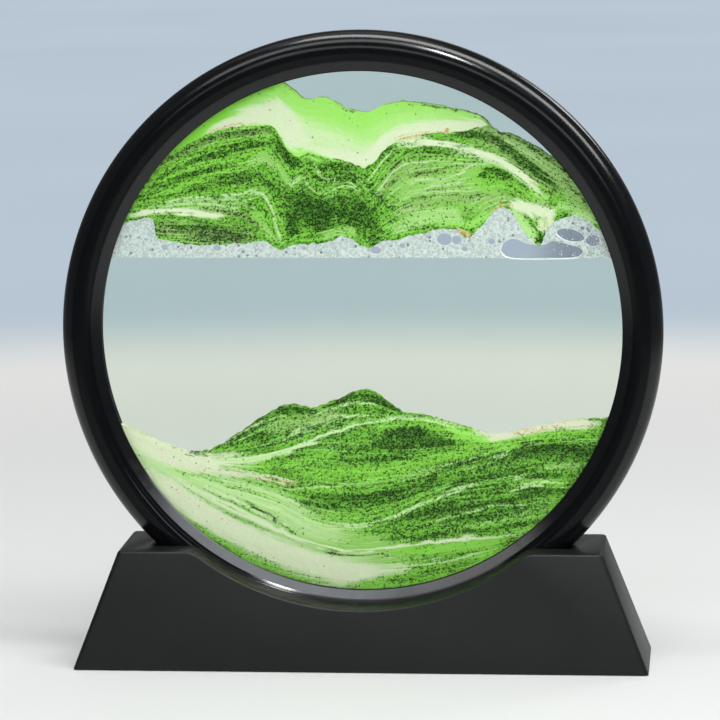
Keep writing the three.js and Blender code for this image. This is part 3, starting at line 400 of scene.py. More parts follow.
def power(title, note, value):
    return FloatProperty(name=title, description=note, default=value, unit="POWER")


def strength(title, note, value):
    return FloatProperty(name=title, description=note, default=value, min=0)


class RingSizes(PropertyGroup):
    """Section of the two bezels that make the ring"""

    radius: length("Ring radius", "Outer radius of the ring", bezel_high.x)
    half_depth: length("Half depth", "From the seam to the crest of a bead", -bezel_low.y)
    crown: length("Crown", "Half width of the flat rim", 0.0012)
    seam: length("Seam", "Chamfer where the two bezels meet", 0.00015)
    bead: length("Bead width", "From the rim to the crest of the bead", 0.006)
    rise: length("Bead rise", "Height of the bead's crest over its foot", 0.0017)
    step: length("Step", "How far the bevel's outer edge lies under the bead's foot", 0.0004)
    bevel: length("Bevel width", "Width of the sloping band round the picture", 0.003)
    facet_lean: FloatProperty(name="Facet lean", description="Slope of the narrow facet round the bevel",
                              default=math.radians(33.5), subtype="ANGLE")
    facet_in: length("Facet inner reach", "From the bevel's outer edge in to the facet's foot", 0.00025)
    facet_out: length("Facet outer reach", "From the bevel's outer edge out to the facet's head", 0.00045)
    view: length("View radius", "Clear opening in front of the picture", 0.0779)
    rear_wider: length("Rear opening", "How much larger the rear opening is, in radius", 0.0007)
    lip: length("Lip", "Thickness of the bezel at the picture's edge", 0.0008)
    lip_round: length("Lip rounding", "How far the lip's inner edge is broken", 0.00015)
    brink_in: length("Brink reach", "From the opening to the edge where the bevel starts", 0.00025)
    brink_rise: length("Brink rise", "Height of that edge over the lip", 0.00008)
    stack: length("Stack", "From the seam to the outer face of a pane", -pane_low.y)
    pocket: length("Pocket radius", "Pocket that holds the panes", 0.0823)
    channel_inner: length("Channel inner radius", "Hollow behind the bead", 0.0836)
    channel_outer: length("Channel outer radius", "Hollow behind the bead", 0.0874)
    channel_depth: length("Channel depth", "Hollow behind the bead", 0.0042)
    bore: length("Port bore", "Radius of the filling port's hole in the rim", 0.0028)
    port_depth: length("Port depth", "How far the filling port's hole goes into the rim", 0.0045)
    segments: IntProperty(name="Segments", description="Steps round the ring", default=256, min=32, max=512)
    black: colour("Gloss black", "Moulded gloss plastic of the ring", (12, 13, 14))


class StandSizes(PropertyGroup):
    """Tapered base with its saddle and slot"""

    bottom_length: length("Bottom length", "Length at the foot", 2 * shell_high.x)
    bottom_depth: length("Bottom depth", "Depth at the foot", 2 * shell_high.y)
    top_length: length("Top length", "Length at the top face", 0.1446)
    top_depth: length("Top depth", "Depth at the top face", 0.0342)
    corner: length("Corner radius", "Rounding of the upright edges", 0.0014)
    edge: length("Edge rounding", "Rounding of all other edges", 0.0006)
    slot_gap: length("Slot gap", "Play of the ring in its slot", 0.0003)
    saddle: length("Saddle radius", "Arc of the front and rear walls about the ring's axis", 0.0813)
    shoulder: length("Shoulder radius", "Rounding where the saddle meets the top face", 0.007)
    wall: length("Wall", "Thickness of the hollow base's walls", 0.0024)
    trough: length("Trough wall", "Thickness under and beside the slot", 0.002)
    black: colour("Matte black", "Moulded matte plastic of the base", (22, 24, 22))


class SandLook(PropertyGroup):
    """Grains and colours of the sand"""

    grain: length("Grain", "Width of a grain", 0.00048)
    pitch: length("Mesh pitch", "Spacing of the sand's mesh", 0.00036)
    dark: colour("Dark grains", "Black sand mixed into the green", (20, 40, 14))
    rust: colour("Rust grains", "A few orange grains", (198, 140, 62))


class StageLook(PropertyGroup):
    """Floor and lamps"""

    near_floor: colour("Floor", "Pale floor round the object", (228, 228, 226))
    far_floor: colour("Far floor", "Pale floor behind the object", (184, 199, 211))
    window: power("Window", "Long lamp at the right and above", 26)
    front: power("Front lamp", "Slanting lamp over the camera", 3.4)
    end: power("End lamp", "What the bevel mirrors at the lower right", 0.48)
    ceiling: power("Ceiling lamp", "What the narrow facet mirrors", 4.2)
    strip: power("Strip lamp", "What the bead mirrors from above", 33)
    back: power("Back lamp", "What level faces mirror from behind", 0.45)
    top: power("Top lamp", "Wide lamp overhead", 4)
    rim: power("Rim lamp", "Small lamp behind, on the right", 4)
    streak: power("Streak lamp", "What makes the two bright glints", 9)
    sky: strength("Sky", "Strength of the even light all round", 0.32)
    room: strength("Room", "Strength of the room that polished faces mirror", 0.12)


# Selecting and editing


def alone(piece):
    """Makes the piece the only selected object, and the active one."""
    bpy.ops.object.select_all(action="DESELECT")
    piece.select_set(True)
    bpy.context.view_layer.objects.active = piece


def edit(piece, mode="VERT"):
    alone(piece)
    bpy.ops.object.mode_set(mode="EDIT")
    bpy.ops.mesh.select_mode(type=mode)
    bpy.ops.mesh.select_all(action="SELECT")


def leave():
    bpy.ops.object.mode_set(mode="OBJECT")


def pick(piece, kind, test):
    """Selects the verts, edges or faces of the edited piece that pass a test, and nothing else."""
    shape = bmesh.from_edit_mesh(piece.data)
    for item in (*shape.verts, *shape.edges, *shape.faces):
        item.select = False
    for item in getattr(shape, kind):
        if test(item):
            item.select_set(True)
    bmesh.update_edit_mesh(piece.data)


def apply(piece, modifier):
    alone(piece)
    bpy.ops.object.modifier_apply(modifier=modifier.name)


def added(name):
    """The primitive that was just added, under its name."""
    piece = bpy.context.object
    piece.name = piece.data.name = name
    return piece


def drawn(name, points):
    """A closed wire through the points, drawn by extruding one vertex."""
    bpy.ops.object.select_all(action="DESELECT")
    bpy.ops.mesh.primitive_plane_add(size=MM, location=(0, 0, 0))
    piece = added(name)
    edit(piece)
    bpy.ops.mesh.merge(type="CENTER")
    points = [Vector(p) for p in points]
    bpy.ops.transform.translate(value=points[0])
    for here, there in zip(points, points[1:] + points[:1]):
        bpy.ops.mesh.extrude_region_move(TRANSFORM_OT_translate={"value": there - here})
    bpy.ops.mesh.select_all(action="SELECT")
    bpy.ops.mesh.remove_doubles(threshold=1e-6)
    leave()
    return piece


def prism(name, outline, half):
    """A drawn outline in x and z, in metres, filled and pulled from front to rear."""
    piece = drawn(name, [(x, -half, z) for x, z in outline])
    edit(piece)
    bpy.ops.mesh.edge_face_add()
    bpy.ops.mesh.extrude_region_move(TRANSFORM_OT_translate={"value": (0, 2 * half, 0)})
    bpy.ops.mesh.select_all(action="SELECT")
    bpy.ops.mesh.normals_make_consistent(inside=False)
    leave()
    return piece


def bar(name, radius, half):
    """A round bar along the ring's axis."""
    bpy.ops.object.select_all(action="DESELECT")
    bpy.ops.mesh.primitive_cylinder_add(vertices=256, radius=radius, depth=2 * half,
                                        location=(0, 0, RING_Z), rotation=(math.pi / 2, 0, 0))
    return added(name)


def post(name, radius, low, high):
    """An upright round bar in the middle of the part."""
    bpy.ops.object.select_all(action="DESELECT")
    bpy.ops.mesh.primitive_cylinder_add(vertices=48, radius=radius, depth=high - low,
                                        location=(0, 0, (low + high) / 2))
    return added(name)


def cut(piece, cutter):
    """Takes the cutter's space out of the piece and removes the cutter."""
    modifier = piece.modifiers.new("cut", "BOOLEAN")
    modifier.operation = "DIFFERENCE"
    modifier.solver = "EXACT"
    modifier.object = cutter
    apply(piece, modifier)
    bpy.data.objects.remove(cutter)


def complete(piece, finish, body, nodes=(), angle=35):
    """Closes the mesh, smooths it, gives it its finish and hangs it on its body."""
    alone(piece)
    bpy.ops.object.transform_apply(location=True, rotation=True, scale=True)
    edit(piece)
    bpy.ops.mesh.remove_doubles(threshold=2e-6)
    bpy.ops.mesh.normals_make_consistent(inside=False)
    leave()
    bpy.ops.object.shade_smooth_by_angle(angle=math.radians(angle))
    piece.data.materials.clear()
    piece.data.materials.append(finish)
    if not piece.data.polygons:
        raise RuntimeError(f"{piece.name} has no faces")
    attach(piece, body)
    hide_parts(*nodes)


def dress(finish, *nodes):
    """Gives CAD nodes that keep their shape a finish of their own."""
    for name in nodes:
        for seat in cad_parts[name].material_slots:
            seat.material = finish


# Nodes of the finishes


def blank(name):
    finish = bpy.data.materials.new(name)
    finish.use_nodes = True
    finish.node_tree.nodes.clear()
    return finish, finish.node_tree


def node(tree, kind, values=None, **settings):
    """A shader node, with its settings and its inputs: each a value or another node's output."""
    made = tree.nodes.new("ShaderNode" + kind)
    for key, value in settings.items():
        setattr(made, key, value)
    for key, value in (values or {}).items():
        if isinstance(value, bpy.types.NodeSocket):
            tree.links.new(value, made.inputs[key])
        else:
            made.inputs[key].default_value = value
    return made


def sums(tree, operation, first, second):
    return node(tree, "Math", {0: first, 1: second}, operation=operation).outputs[0]


def ramp(tree, value, low, high, to_low=0.0, to_high=1.0, eased=False):
    kind = "SMOOTHSTEP" if eased else "LINEAR"
    values = {"Value": value, "From Min": low, "From Max": high, "To Min": to_low, "To Max": to_high}
    return node(tree, "MapRange", values, interpolation_type=kind).outputs[0]


def blended(tree, share, first, second, blend="MIX"):
    mixed = node(tree, "Mix", data_type="RGBA", blend_type=blend)
    for socket, value in ((0, share), (6, first), (7, second)):
        if isinstance(value, bpy.types.NodeSocket):
            tree.links.new(value, mixed.inputs[socket])
        else:
            mixed.inputs[socket].default_value = value if socket == 0 else (*value, 1)
    return mixed.outputs[2]


def place(tree):
    return node(tree, "TexCoord").outputs["Object"]


def speckle(tree, size, detail=3.0):
    """Even noise with spots of about a size."""
    values = {"Vector": place(tree), "Scale": 1 / size, "Detail": detail, "Roughness": 0.6}
    return node(tree, "TexNoise", values).outputs[0]


def bumps(tree, height, depth, strength):
    values = {"Height": height, "Distance": depth, "Strength": strength}
    return node(tree, "Bump", values).outputs[0]


def surface(tree, values):
    """The principled shader of a finish, on its output."""
    shader = node(tree, "BsdfPrincipled", values)
    node(tree, "OutputMaterial", {"Surface": shader.outputs[0]})


def grained(name, size, low, high, rough, relief):
    """A finish whose colour, roughness and relief follow one noise."""
    finish, tree = blank(name)
    grain = speckle(tree, size)
    surface(tree, {
        "Base Color": blended(tree, grain, low, high),
        "Roughness": ramp(tree, grain, 0.3, 0.7, *rough),
        "Normal": bumps(tree, grain, *relief),
    })
    return finish


def dark(colour_value, share):
    return tuple(c * share for c in colour_value)


def gloss_black(tone):
    """Polished black plastic with faint wiping marks, a little duller on the bead."""
    finish, tree = blank("gloss_black")
    marks = speckle(tree, 0.004)
    spoke = node(tree, "VectorMath", {0: place(tree), 1: (0, 0, RING_Z)}, operation="SUBTRACT").outputs[0]
    spoke = node(tree, "VectorMath", {0: spoke, 1: (1, 0, 1)}, operation="MULTIPLY").outputs[0]
    radius = node(tree, "VectorMath", {0: spoke}, operation="LENGTH").outputs["Value"]
    bead = ramp(tree, radius, *BEAD_SLOPE)
    bevel = ramp(tree, radius, *BEVEL_EDGE, 0.27, 0)
    outer = ramp(tree, radius, *BEAD_CREST, 0.1, 0.38)
    rough = sums(tree, "ADD", ramp(tree, marks, 0.35, 0.7, 0.1, 0.15), sums(tree, "MULTIPLY", bead, 0.05))
    surface(tree, {
        "Base Color": blended(tree, marks, dark(tone, 0.8), dark(tone, 1.2)),
        "Roughness": rough,
        "Specular IOR Level": sums(tree, "ADD", outer, bevel),
        "Normal": bumps(tree, marks, 0.00002, 0.1),
    })
    return finish


def matte_black(tone):
    """Spark-eroded black plastic with a fine even grain."""
    finish, tree = blank("matte_black")
    grain = speckle(tree, 0.00045, 2)
    cloud = speckle(tree, 0.018)
    surface(tree, {
        "Base Color": blended(tree, ramp(tree, cloud, 0.3, 0.7), dark(tone, 0.85), dark(tone, 1.12)),
        "Roughness": ramp(tree, grain, 0.3, 0.7, 0.34, 0.46),
        "Specular IOR Level": 0.22,
        "Normal": bumps(tree, grain, 0.00006, 0.35),
    })
    return finish


def spacer_black():
    """Hidden black plastic of the spacer."""
    return grained("spacer_black", 0.0008, (0.008, 0.008, 0.008), (0.016, 0.016, 0.017), (0.5, 0.7),
                   (0.00005, 0.3))


def rubber():
    """Dull black rubber of the feet and the washer."""
    return grained("black_rubber", 0.0006, (0.010, 0.010, 0.010), (0.024, 0.024, 0.024), (0.75, 0.95),
                   (0.0001, 0.5))


def silicone():
    """Cured clear bead of sealant."""
    return grained("clear_silicone", 0.003, (0.42, 0.46, 0.45), (0.56, 0.60, 0.59), (0.3, 0.5),
                   (0.0001, 0.2))


def turned_metal(name, tone, rough):
    """Bright metal with fine turning marks."""
    finish, tree = blank(name)
    stretch = node(tree, "Mapping", {"Vector": place(tree), "Scale": (1, 1, 14)}).outputs[0]
    marks = node(tree, "TexNoise", {"Vector": stretch, "Scale": 900, "Detail": 3}).outputs[0]
    surface(tree, {
        "Base Color": blended(tree, marks, dark(tone, 0.82), tone),
        "Metallic": 1.0,
        "Roughness": ramp(tree, marks, 0.3, 0.7, rough, rough + 0.14),
        "Normal": bumps(tree, marks, 0.00002, 0.3),
    })
    return finish


def clear_sheet(name, tint, mirror, edge_mirror):
    """A see-through face that mirrors a little, more so at a slant."""
    finish, tree = blank(name)
    flat = node(tree, "NewGeometry").outputs["True Normal"]
    slant = node(tree, "LayerWeight", {"Blend": 0.5, "Normal": flat}).outputs["Facing"]
    share = sums(tree, "ADD", sums(tree, "MULTIPLY", sums(tree, "POWER", slant, 5.0), edge_mirror), mirror)
    smear = ramp(tree, speckle(tree, 0.02), 0.3, 0.7, 0.02, 0.06)
    clear = node(tree, "BsdfTransparent", {"Color": (*tint, 1)})
    gloss = node(tree, "BsdfGlossy", {"Color": (1, 1, 1, 1), "Roughness": smear, "Normal": flat})
    mixed = node(tree, "MixShader", {0: share, 1: clear.outputs[0], 2: gloss.outputs[0]})
    node(tree, "OutputMaterial", {"Surface": mixed.outputs[0]})
    return finish


def clear_fill(name, tint):
    """Still liquid or air: a faint tint that varies a little."""
    finish, tree = blank(name)
    cloud = ramp(tree, speckle(tree, 0.03), 0.3, 0.7)
    clear = node(tree, "BsdfTransparent", {"Color": blended(tree, cloud, tint, dark(tint, 0.99))})
    node(tree, "OutputMaterial", {"Surface": clear.outputs[0]})
    return finish


def sand_grains(look):
    """Dyed sand: stripes along the strata, black and rust grains where the strokes put them."""
    finish, tree = blank("dyed_sand")
    tint = node(tree, "Attribute", attribute_name="tint").outputs["Color"]
    share, rusty, striped, strata_at = [
        node(tree, "Attribute", attribute_name=name).outputs["Fac"]
        for name in ("dark_share", "rust_share", "stripe_share", "strata")]
    where = place(tree)
    along = node(tree, "SeparateXYZ", {0: where}).outputs["X"]

    def times(first, second):
        return sums(tree, "MULTIPLY", first, second)

    def layers(reach, thick, seed):
        """Noise from 0 to 1, drawn out along the strata."""
        spread = node(tree, "CombineXYZ", {
            "X": sums(tree, "DIVIDE", along, reach), "Y": sums(tree, "DIVIDE", strata_at, thick), "Z": seed})
        values = {"Vector": spread.outputs[0], "Scale": 1.0, "Detail": 2.0, "Roughness": 0.55}
        return ramp(tree, node(tree, "TexNoise", values).outputs[0], 0.34, 0.66)

    bands = layers(0.016, 1.1, 3.0)
    threads = layers(0.020, 0.42, 8.0)
    layer = sums(tree, "ADD", times(bands, 0.65), times(threads, 0.35))
    clump = ramp(tree, speckle(tree, 0.0011, 2), 0.36, 0.64, 0.45, 1.55)
    deep = ramp(tree, share, 0.05, 0.2)
    cells = node(tree, "TexVoronoi", {"Vector": where, "Scale": 1 / look.grain})
    chance = node(tree, "SeparateColor", {0: cells.outputs["Color"]}).outputs
    body = ramp(tree, cells.outputs["Distance"], 0.45, 0.8, 1, 0)
    most_dark = 0.78
    layered = times(times(share, clump), ramp(tree, layer, 0.1, 0.9, 0.3, 1.7))
    dark_share = sums(tree, "MINIMUM", layered, most_dark)
    is_dark = times(sums(tree, "LESS_THAN", chance[0], dark_share), body)
    is_rust = sums(tree, "LESS_THAN", chance[1], times(rusty, ramp(tree, threads, 0, 1, 0.5, 1.2)))
    is_dim = sums(tree, "LESS_THAN", chance[1], times(dark_share, 0.7))
    grain_swing = times(sums(tree, "SUBTRACT", chance[2], 0.5), ramp(tree, deep, 0, 1, 0.05, 0.4))
    layer_swing = times(deep, ramp(tree, layer, 0.1, 0.9, 0.18, -0.2))
    light = sums(tree, "ADD", sums(tree, "ADD", grain_swing, layer_swing), 1.0)
    grey = node(tree, "CombineColor", {0: light, 1: light, 2: light}).outputs[0]
    green_stripe = times(times(striped, ramp(tree, threads, 0.52, 0.74)), 0.75)
    pale_stripe = times(striped, ramp(tree, threads, 0.16, 0.34, 0.7, 0))
    tone = blended(tree, green_stripe, tint, linear((140, 210, 84)))
    tone = blended(tree, pale_stripe, tone, linear((212, 234, 176)))
    tone = blended(tree, 1.0, tone, grey, "MULTIPLY")
    tone = blended(tree, times(is_dim, 0.6), tone, linear((56, 104, 30)))
    tone = blended(tree, times(is_dark, ramp(tree, share, 0, 0.3, 0.65, 0.96)), tone, tuple(look.dark))
    tone = blended(tree, times(is_rust, 0.75), tone, tuple(look.rust))
    surface(tree, {
        "Base Color": tone,
        "Roughness": ramp(tree, chance[1], 0, 1, 0.75, 0.95),
        "Specular IOR Level": 0.1,
        "Normal": bumps(tree, cells.outputs["Distance"], 0.0001, 0.3),
    })
    return finish


def froth():
    """Fine white foam: bright films round small bubbles whose cores let a little more through and are painted
    grey as painted shade, coarser at the right.
    """
    finish, tree = blank("froth")
    where = place(tree)
    along = node(tree, "SeparateXYZ", {0: where}).outputs["X"]
    coarse = ramp(tree, along, *FOAM_COARSENS)

    def foam(size, low, high):
        """Bubbles of a size: how far a point lies inside one, and its random values."""
        cells = node(tree, "TexVoronoi", {"Vector": where, "Scale": 1 / size})
        chance = node(tree, "SeparateColor", {0: cells.outputs["Color"]}).outputs
        hole = ramp(tree, cells.outputs["Distance"], 0.22, 0.46, 1, 0, eased=True)
        return sums(tree, "MULTIPLY", hole, ramp(tree, chance[0], low, high)), chance

    small, chance = foam(size=0.00062, low=0.1, high=1.0)
    middle, _ = foam(size=0.0013, low=0.86, high=0.9)
    deep = ramp(tree, coarse, 0, 1, 0.42, 0.95)
    hole = sums(tree, "MAXIMUM", sums(tree, "MULTIPLY", small, deep), middle)
    pale = blended(tree, chance[1], linear((194, 205, 197)), linear((228, 235, 230)))
    surface(tree, {
        # Painted shade: the bubbles' cores take a grey colour for the shade inside them.
        "Base Color": blended(tree, hole, pale, linear((150, 160, 166))),
        "Roughness": ramp(tree, chance[2], 0, 1, 0.25, 0.5),
        "Specular IOR Level": 0.5,
        "Alpha": ramp(tree, hole, 0, 1, 0.95, 0.7),
        "Normal": bumps(tree, small, 0.0003, 0.5),
    })
    return finish


def bubble_film():
    """Bright wet wall of an air bubble."""
    finish, tree = blank("bubble_film")
    cloud = speckle(tree, 0.002)
    surface(tree, {
        "Base Color": blended(tree, cloud, linear((244, 247, 246)), linear((254, 254, 254))),
        "Roughness": ramp(tree, cloud, 0.3, 0.7, 0.12, 0.25),
        "Specular IOR Level": 0.7,
    })
    return finish


def trapped_air():
    """Air in the large bubbles: a see-through sheet with a painted shade of grey, faint at the left and
    darker at the right, where it is dotted with foam.
    """
    finish, tree = blank("trapped_air")
    where = place(tree)
    along = node(tree, "SeparateXYZ", {0: where}).outputs["X"]
    shade = ramp(tree, along, *AIR_SHADE_DEEPENS, eased=True)
    # Painted shade: the air's grey tint stands for the shade inside the bubbles, darker to the right.
    tint = blended(tree, shade, (0.93, 0.925, 0.95), (0.72, 0.72, 0.745))
    clear = node(tree, "BsdfTransparent", {"Color": tint})
    cells = node(tree, "TexVoronoi", {"Vector": where, "Scale": 1250})
    chance = node(tree, "SeparateColor", {0: cells.outputs["Color"]}).outputs
    dot = ramp(tree, cells.outputs["Distance"], 0.2, 0.34, 1, 0)
    rare = sums(tree, "MULTIPLY", ramp(tree, chance[0], 0.6, 0.7), sums(tree, "MULTIPLY", shade, 0.8))
    white = node(tree, "BsdfDiffuse", {"Color": (0.8, 0.82, 0.82, 1)})
    mixed = node(tree, "MixShader", {
        0: sums(tree, "MULTIPLY", dot, rare), 1: clear.outputs[0], 2: white.outputs[0]})
    node(tree, "OutputMaterial", {"Surface": mixed.outputs[0]})
    return finish


def pale_floor(look):
    """Even floor that keeps its shadow near the object and is seen in its plain colour further off."""
    finish, tree = blank("pale_floor")
    far = node(tree, "VectorMath", {0: place(tree)}, operation="LENGTH").outputs["Value"]
    cloud = ramp(tree, speckle(tree, 0.4, 1), 0.3, 0.7, 0.98, 1.02)
    grey = node(tree, "CombineColor", {0: cloud, 1: cloud, 2: cloud}).outputs[0]
    distant = ramp(tree, far, 0.60, 0.84, eased=True)
    tone = blended(tree, distant, tuple(look.near_floor), tuple(look.far_floor))
    tone = blended(tree, 1.0, tone, grey, "MULTIPLY")
    lit = node(tree, "BsdfPrincipled", {"Base Color": tone, "Roughness": 0.7, "Specular IOR Level": 0.2})
    rays = node(tree, "LightPath").outputs
    depth = node(tree, "SeparateXYZ", {0: place(tree)}).outputs["Y"]
    mirrored = ramp(tree, depth, -0.3, 0.3, 0.3, 0.4)
    glow = ramp(tree, rays["Is Glossy Ray"], 0, 1, 1, mirrored)
    seen = node(tree, "Emission", {"Color": tone, "Strength": glow})
    kind = sums(tree, "MAXIMUM", rays["Is Camera Ray"],
                sums(tree, "MAXIMUM", rays["Is Glossy Ray"], rays["Is Transmission Ray"]))
    share = sums(tree, "MULTIPLY", kind, ramp(tree, far, 0.35, 0.70, eased=True))
    mixed = node(tree, "MixShader", {0: share, 1: lit.outputs[0], 2: seen.outputs[0]})
    node(tree, "OutputMaterial", {"Surface": mixed.outputs[0]})
    return finish


# Drawing with lines


def smooth(points, steps=8):
    """A smooth line through the points."""
    p = np.array([points[0], *points, points[-1]], float)
    rows = []
    t = (np.arange(steps) / steps)[:, None]
    for a, b, c, d in zip(p, p[1:], p[2:], p[3:]):
        rows.append(0.5 * (2 * b + (c - a) * t + (2 * a - 5 * b + 4 * c - d) * t**2
                           + (3 * b - a - 3 * c + d) * t**3))
    return np.concatenate([*rows, p[-1:]])


def height(points, x):
    """The height of a drawn edge at each x."""
    line = smooth(points)
    line = line[np.argsort(line[:, 0], kind="stable")]
    return np.interp(x, line[:, 0], line[:, 1])


def crest(points, x):
    """The height of a drawn edge with its grains."""
    row = np.full(len(x), float(len(points)))
    waves, grains = ripple(x / 1.4, row), ripple(x / 0.55 + 9, row)
    return height(points, x) + 0.5 * (waves - 0.5) + 0.4 * (grains - 0.5)


def arc(x):
    """Half the cell's height at each x."""
    return np.sqrt(np.maximum(CELL_R**2 - x**2, 0))


chances = np.random.default_rng(9).random((256, 256))


def ripple(u, v):
    """Smooth noise from 0 to 1."""
    i, j = np.floor(u).astype(int), np.floor(v).astype(int)
    s, t = u - i, v - j
    s, t = s * s * (3 - 2 * s), t * t * (3 - 2 * t)
    near = chances[i % 256, j % 256] * (1 - s) + chances[(i + 1) % 256, j % 256] * s
    far = chances[i % 256, (j + 1) % 256] * (1 - s) + chances[(i + 1) % 256, (j + 1) % 256] * s
    return near * (1 - t) + far * t


def strata(x, z, guides):
    """How high in the layers a point lies, in millimetres of mean layer thickness."""
    levels = np.maximum.accumulate([height(g, x) + 0.05 * i for i, g in enumerate(guides)], axis=0)
    thick = np.diff(levels, axis=0)
    value = np.concatenate([[0], np.cumsum(thick.mean(axis=1))])
    result = np.full(len(x), value[-1])
    for k in reversed(range(len(thick))):
        share = (z - levels[k]) / np.maximum(thick[k], 0.3)
        result = np.where(z < levels[k + 1], value[k] + share * (value[k + 1] - value[k]), result)
    return result


def sand_row(name):
    tone, *shares = SANDS[name]
    return np.array([*linear(tone), *shares])


def brushed(x, z, base, strokes):
    """Red, green, blue and the shares of dark, rust and stripes at each point, after all strokes."""
    soft_from, soft_to = 0.35, 1.2  # a stroke's soft edge, in half widths
    taper = 0.15  # share of a stroke's length in which it starts or ends
    thin = 0.7  # a line with a smaller half width is sprinkled
    look = np.tile(sand_row(base), (len(x), 1))
    for sand, strength, above, below, line in strokes:
        path = smooth(line, 4)
        reach = 1.3 * max(above, below)
        (left, low), (right, high) = path.min(axis=0) - reach, path.max(axis=0) + reach
        near = np.flatnonzero((x > left) & (x < right) & (z > low) & (z < high))
        gap, side, along = np.full(len(near), np.inf), np.zeros(len(near)), np.zeros(len(near))
        px, pz = x[near], z[near]
        for i, (a, b) in enumerate(zip(path, path[1:])):
            run = b - a
            t = np.clip(((px - a[0]) * run[0] + (pz - a[1]) * run[1]) / max(run @ run, 1e-9), 0, 1)
            gx, gz = px - a[0] - t * run[0], pz - a[1] - t * run[1]
            distance = np.hypot(gx, gz)
            closer = distance < gap
            gap = np.where(closer, distance, gap)
            side = np.where(closer, run[0] * gz - run[1] * gx, side)
            along = np.where(closer, (i + t) / (len(path) - 1), along)
        end = np.clip(np.minimum(along, 1 - along) / taper, 0, 1)
        width = np.where(side > 0, above, below) * (0.3 + 0.7 * end)
        share = np.clip((soft_to - gap / width) / (soft_to - soft_from), 0, 1)
        share = strength * share * share * (3 - 2 * share) * np.sqrt(end)
        if max(above, below) < thin:
            share *= 0.5 + 0.5 * ripple(px / 0.8 + 5, pz / 0.8 + 11)
        look[near] += share[:, None] * (sand_row(sand) - look[near])
    return look


# Beds of sand and foam between two drawn edges


def coordinates(piece):
    """The piece's points in metres, one row each."""
    spots = np.zeros(len(piece.data.vertices) * 3)
    piece.data.vertices.foreach_get("co", spots)
    return spots.reshape(-1, 3)


def bed(name, foot, top, pitch, half):
    """A bed from glass to glass: a grid drawn between two edges, then given its thickness."""
    x = np.linspace(-CELL_R, CELL_R, 6000)
    thick = top(x) - foot(x)
    deep = np.flatnonzero(thick > 0.05)
    runs = np.split(deep, np.flatnonzero(np.diff(deep) > 1) + 1)
    span = max(runs, key=len)
    left, right = x[span[0]], x[span[-1]]
    columns = int((right - left) * MM / pitch)
    rows = max(4, int(thick[span].max() * MM / pitch))
    bpy.ops.object.select_all(action="DESELECT")
    bpy.ops.mesh.primitive_grid_add(x_subdivisions=columns, y_subdivisions=rows, size=2)
    piece = added(name)
    spots = coordinates(piece)
    x = left + (right - left) * (spots[:, 0] + 1) / 2
    z = foot(x) + (top(x) - foot(x)) * (spots[:, 1] + 1) / 2
    spots = np.stack([x * MM, np.full(len(x), -half), RING_Z + z * MM], axis=1)
    piece.data.vertices.foreach_set("co", spots.ravel())
    wall = piece.modifiers.new("thickness", "SOLIDIFY")
    wall.thickness = 2 * half
    wall.offset = -1
    apply(piece, wall)
    return piece


def points_of(piece):
    """The piece's points: an array in metres, then x and z in millimetres from the ring's centre."""
    spots = coordinates(piece)
    return spots, spots[:, 0] / MM, (spots[:, 2] - RING_Z) / MM


def settle(piece, depth):
    """Uneven faces where the sand lies against the glass."""
    spots, x, z = points_of(piece)
    hollow = ripple(x / 4 + 40, z / 2.5 + 90) * 0.7 + ripple(x / 0.9 + 7, z / 0.9 + 31) * 0.3
    spots[:, 1] -= np.sign(spots[:, 1]) * hollow * depth
    piece.data.vertices.foreach_set("co", spots.ravel())
    piece.data.update()


def colour_sand(piece, base, strokes, guides):
    """Writes the painted strokes and the strata on the piece's points."""
    _, x, z = points_of(piece)
    level = strata(x, z, guides)
    sway = 1.6 * (ripple(x / 13 + 50, level / 0.7 + 20) - 0.5) + 0.7 * (ripple(x / 2.2, z / 2.2) - 0.5)
    look = brushed(x, z + sway, base, strokes)
    layers = {
        "tint": ("FLOAT_COLOR", "color", np.c_[look[:, :3], np.ones(len(x))]),
        "dark_share": ("FLOAT", "value", look[:, 3]),
        "rust_share": ("FLOAT", "value", look[:, 4]),
        "stripe_share": ("FLOAT", "value", look[:, 5]),
        "strata": ("FLOAT", "value", level),
    }
    for name, (kind, field, values) in layers.items():
        layer = piece.data.attributes.new(name, kind, "POINT")
        layer.data.foreach_set(field, values.astype(np.float32).ravel())


def over(*lines):
    """The highest of some drawn edges and of the cell's lower arc, as a function of x."""
    return lambda x: np.maximum.reduce([crest(line, x) for line in lines] + [-arc(x)])


def under(*lines):
    """The lowest of some drawn edges and of the cell's upper arc, as a function of x."""
    return lambda x: np.minimum.reduce([crest(line, x) for line in lines] + [arc(x)])


def sand_bed(name, base, foot, top, strokes, guides):
    """A bed of sand with its painted layers, in place of its node."""
    look = bpy.context.scene.sand_look
    finish = bpy.data.materials.get("dyed_sand") or sand_grains(look)
    piece = bed(name + "_bed", foot, top, look.pitch, CELL_HALF - SAND_GAP)
    settle(piece, SAND_HOLLOW)
    complete(piece, finish, "ring", [name], angle=50)
    colour_sand(piece, base, strokes, guides)


